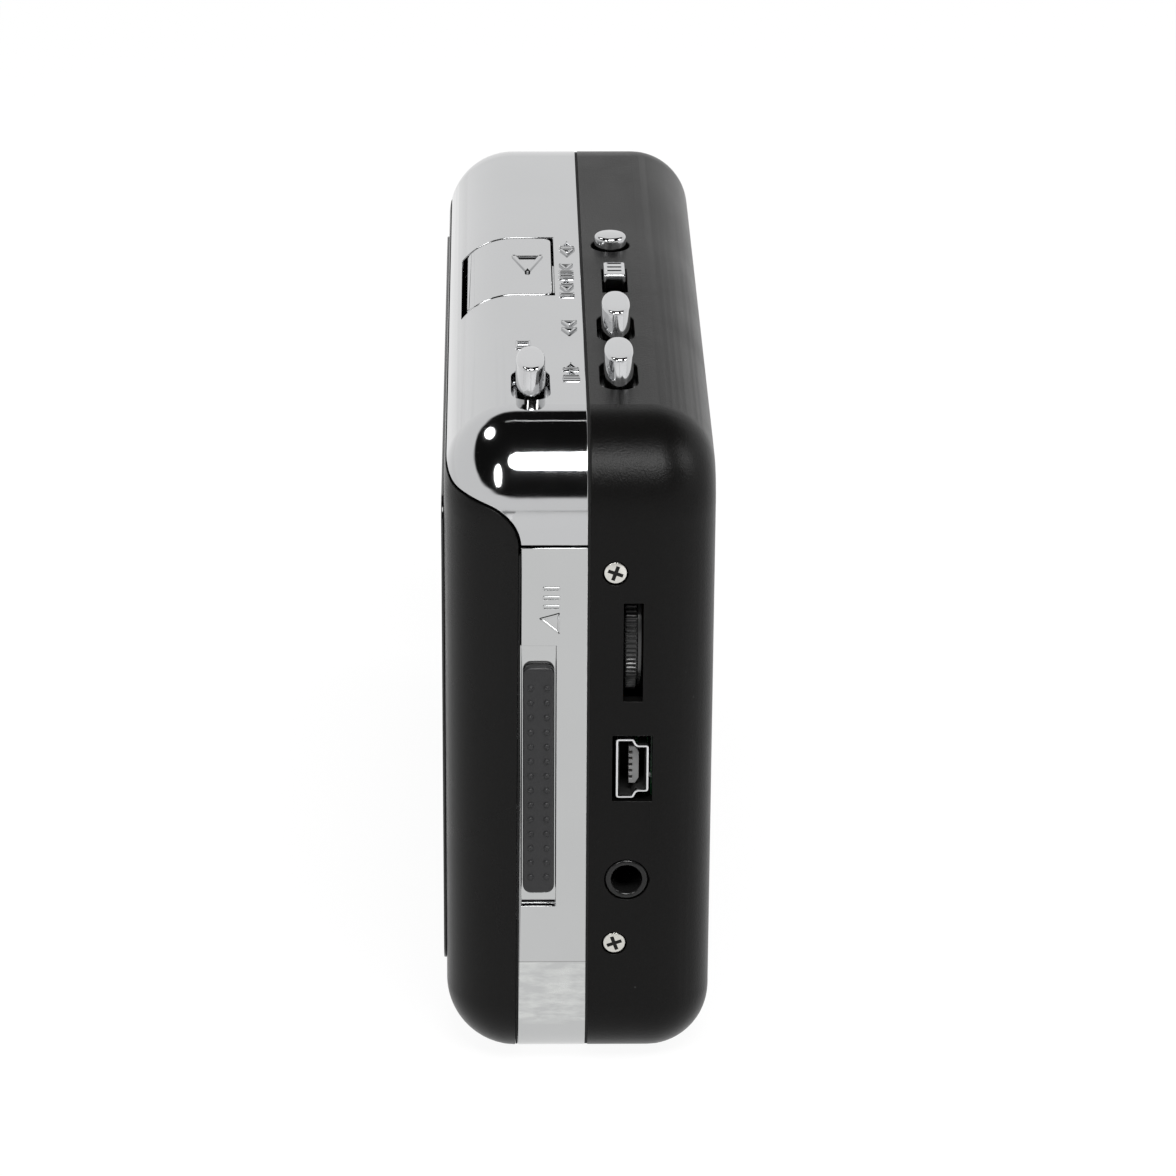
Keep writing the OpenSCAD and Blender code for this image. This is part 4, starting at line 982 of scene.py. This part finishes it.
def makeDataTongue(look):
    low, high = boxMm("usb_tongue")
    root, z = low.y + look["root"], (low.z + high.z) / 2
    half, deep = (high.z - low.z) / 2, high.y - root
    across, along = look["chamfer"]
    middles = [look["notchStep"] * (k - (look["notches"] - 1) / 2) for k in range(look["notches"])]
    outline = [(deep - across, -half), (deep, -half + along), (deep, half - along), (deep - across, half), (0, half)]
    for middle in reversed(middles):
        above, below = middle + look["notchWidth"] / 2, middle - look["notchWidth"] / 2
        outline += [(0, above), (look["notchDepth"], above), (look["notchDepth"], below), (0, below)]
    outline.append((0, -half))
    steps = [(0, low.x)] + [(grow, high.x - behind) for grow, behind in look["lip"]]
    build = Build().stackX(steps, lambda grow: growOutline(outline, grow), root, z)
    addPiece("dataTongue", build, "usb_tongue", sharp=32)
    strips = Build()
    (thick, wide), (reach, tip) = look["strip"], look["stripEnd"]
    steps = ((0, low.x + look["stripFrom"]), (0, high.x - reach), (look["stripEdge"], high.x - tip))
    for middle in middles:
        strips.stackX(steps, lambda inset: roundedRect(thick - 2 * inset, wide - 2 * inset, look["stripEdge"], 2),
                      root + look["stripDepth"], z + middle)
    addPiece("dataContacts", strips, "usb_tongue", finish="goldContact")


# Painted shade: a dark sheet inside the shell behind its bright front edge, so that the steel inside looks dark
def makeDataPaintedShade(look, socket):
    low, high = boxMm("usb_shell")
    z = sum(corner.z for corner in boxMm("usb_tongue")) / 2
    shell = socketOutline(high.z - low.z, socket)
    inside = roundedPolygon(growOutline(shell, -socket["wall"] - look["paintedShadeGap"]), look["paintedShadeCorner"])
    steps = [(grow, high.x - behind) for grow, behind in look["paintedShadeLip"]]
    build = Build().stackX(steps, lambda grow: growOutline(inside, grow), low.y + socket["deep"] / 2, z)
    addPiece("dataPaintedShade", build, "usb_tongue", finish="darkSealAndPaintedShade")


makeDataTongue(dataTongue)
makeDataPaintedShade(dataTongue, dataSocket)
print("stage: wheel and data socket")


# Headphone socket: a rolled ring round the bore and a moulded box behind it

phoneSocket = {"bore": 1.8, "sleeve": 2.55, "rim": 0.34, "reach": (3, 14), "face": 1.8, "lap": 0.1,
               "axis": (3, 2.9), "boxCorner": 0.25, "boxEdge": 0.12, "steps": 56}


def makePhoneSocket(look):
    low, high = boxMm("headphone_jack")
    y, z = low.y + look["axis"][0], low.z + look["axis"][1]
    bore, sleeve, rim, front, boxFront = look["bore"], look["sleeve"], look["rim"], high.x, high.x - look["face"]
    middle, half = (bore + sleeve) / 2, (sleeve - bore) / 2
    steps = [(sleeve, boxFront - look["lap"]), (sleeve, front - rim)]
    steps += [(middle + half * math.cos(math.radians(t)), front - rim * (1 - math.sin(math.radians(t))))
              for t in range(15, 181, 15)]
    steps += [(bore, front - reach) for reach in look["reach"]]
    build = Build().stackX(steps, lambda radius: circle(radius, look["steps"]), y, z, closeFirst=False)
    tip = build.ring(acrossX(circle(sleeve, look["steps"]), boxFront, y, z))
    wide, tall, edge = high.y - low.y, high.z - low.z, look["boxEdge"]
    rings = [build.ring(acrossX(roundedRect(wide - 2 * inset, tall - 2 * inset, look["boxCorner"], 3),
                                x, (low.y + high.y) / 2, (low.z + high.z) / 2))
             for x, inset in ((boxFront, edge), (boxFront - edge, 0), (low.x + edge, 0), (low.x, edge))]
    for a, b in zip(rings, rings[1:]):
        build.join(a, b)
    build.faces.append(tuple(rings[-1]))
    build.ringFill(rings[0], tip)
    addPiece("phoneSocket", build, "headphone_jack")


makePhoneSocket(phoneSocket)


# Raised marks on the plated parts: each an outline standing just proud of its face

def symbol(turn, x, y, length, width):
    a, b = length / 2, width / 2
    if turn:
        return [(x - turn * a, y - b), (x + turn * a, y), (x - turn * a, y + b)]
    return [(x - a, y - b), (x + a, y - b), (x + a, y + b), (x - a, y + b)]


markForm = {"sink": 0.05, "corner": 0.12, "slant": 0.01, "shoulder": 0.7, "edge": 0.18}
# Node, then the width and height of the ridge and its symbols: 1 or -1 for the way that a triangle points
# and 0 for a bar, then middle, length and width, or the corners themselves
markSets = {
    "topMarks": ("top_cap", [(0.3, 0.26, [
        (-1, -9.5, -0.6, 2.2, 2), (1, -6.7, -0.6, 2.2, 2), (0, -8.1, -0.6, 0.5, 2),
        (1, -1.2, -0.8, 2, 1.9), (0, 0.6, -0.8, 0.9, 1.9), (0, 2.2, -0.8, 0.9, 1.9),
        (-1, 4.2, -0.8, 2, 1.9), (1, 6.6, -0.8, 2, 1.9), (0, 8.6, -0.8, 0.9, 1.9),
        (1, 18.9, -0.7, 2.1, 2.1), (1, 21.3, -0.7, 2.1, 2.1), (-1, 33, -0.7, 2.1, 2.1),
        (-1, 35.4, -0.7, 2.1, 2.1), (0, 37.1, -0.7, 0.6, 2.1), (0, 25.8, -6.3, 2, 1.8),
    ])]),
    "playMark": ("play_key", [(0.5, 0.26, [(1, -2.3, -5.6, 6.4, 4)])]),
    "openMarks": ("side_band", [
        (0.18, 0.16, [(0, -3.2, 63.4, 2, 0.55), (0, -3.2, 62.25, 2, 0.55), (0, -3.2, 61.1, 2, 0.55)]),
        (0.28, 0.16, [((-4.7, 59.7), (-2.2, 57.6), (-2.2, 60.4))]),
    ]),
}


# A narrow ridge that follows a closed outline
def addMark(build, corners, lay, wide, tall, look):
    outline = roundedPolygon(corners, look["corner"], 2)
    edge, shoulder = wide * look["edge"], tall * look["shoulder"]
    section = [(0, -look["sink"]), (-look["slant"], shoulder), (-edge, tall), (-wide + edge, tall),
               (-wide + look["slant"], shoulder), (-wide, -look["sink"])]
    build.loft([[lay(a, b, height) for a, b in growOutline(outline, grow)] for grow, height in section],
               around=True)


def makeMarks(name, node, ridges, look):
    face = boxMm(node)[1]
    build = Build()

    def lay(a, b, height):
        return (face.x + height, a, b) if node == "side_band" else (a, b, face.z + height)

    for wide, tall, rows in ridges:
        for row in rows:
            addMark(build, row if len(row) == 3 else symbol(*row), lay, wide, tall, look)
    addPiece(name, build, node, sharp=30)


for name, (node, ridges) in markSets.items():
    makeMarks(name, node, ridges, markForm)
print("stage: phone socket and marks")


# Dark seals: one round the case halves, one where the door closes on the side band

seals = {"width": 112, "height": 82, "topCorner": 11, "bottomCorner": 8.6, "cornerSteps": 12, "inset": 0.1,
         "depth": 0.9, "seamY": 1.15, "halfWidth": 0.2, "doorFoot": -7.25, "doorLean": 0.4 / 69.6, "doorDrop": 1,
         "doorHalfWidth": 0.11, "doorStart": 14, "doorTop": 67.5}


def caseOutline(look, inset):
    wide, tall = look["width"] / 2 - inset, look["height"] - inset
    top, bottom = look["topCorner"] - inset, look["bottomCorner"] - inset
    corners = [(wide - top, tall - top, top), (top - wide, tall - top, top), (bottom - wide, inset + bottom, bottom),
               (wide - bottom, inset + bottom, bottom)]
    return roundedCorners(corners, look["cornerSteps"])


def makeCaseSeal(look):
    outer, inner = caseOutline(look, look["inset"]), caseOutline(look, look["inset"] + look["depth"])
    near, far = look["seamY"] - look["halfWidth"], look["seamY"] + look["halfWidth"]
    rings = [[(x, y, z) for x, z in outline] for outline, y in
             ((outer, near), (outer, far), (inner, far), (inner, near))]
    addPiece("caseSeal", Build().loft(rings, around=True), "side_band", finish="darkSealAndPaintedShade")


# Follows the case from the left foot along the bottom and up the right end
def makeDoorSeal(look):
    half, paths = look["doorHalfWidth"], []
    for inset in (look["inset"], look["inset"] + look["depth"]):
        corner = caseOutline(look, inset)[-look["cornerSteps"] - 1:]
        paths.append([(-look["width"] / 2 + look["doorStart"], inset)] + corner
                     + [(look["width"] / 2 - inset, look["doorTop"])])

    def seamAt(z):
        return look["doorFoot"] + look["doorLean"] * (z + look["doorDrop"])

    rings = [[(ox, seamAt(oz) - half, oz), (ox, seamAt(oz) + half, oz), (ix, seamAt(oz) + half, iz),
              (ix, seamAt(oz) - half, iz)] for (ox, oz), (ix, iz) in zip(*paths)]
    addPiece("doorSeal", Build().loft(rings), "side_band", finish="darkSealAndPaintedShade")


makeCaseSeal(seals)
makeDoorSeal(seals)
print("stage: seals")
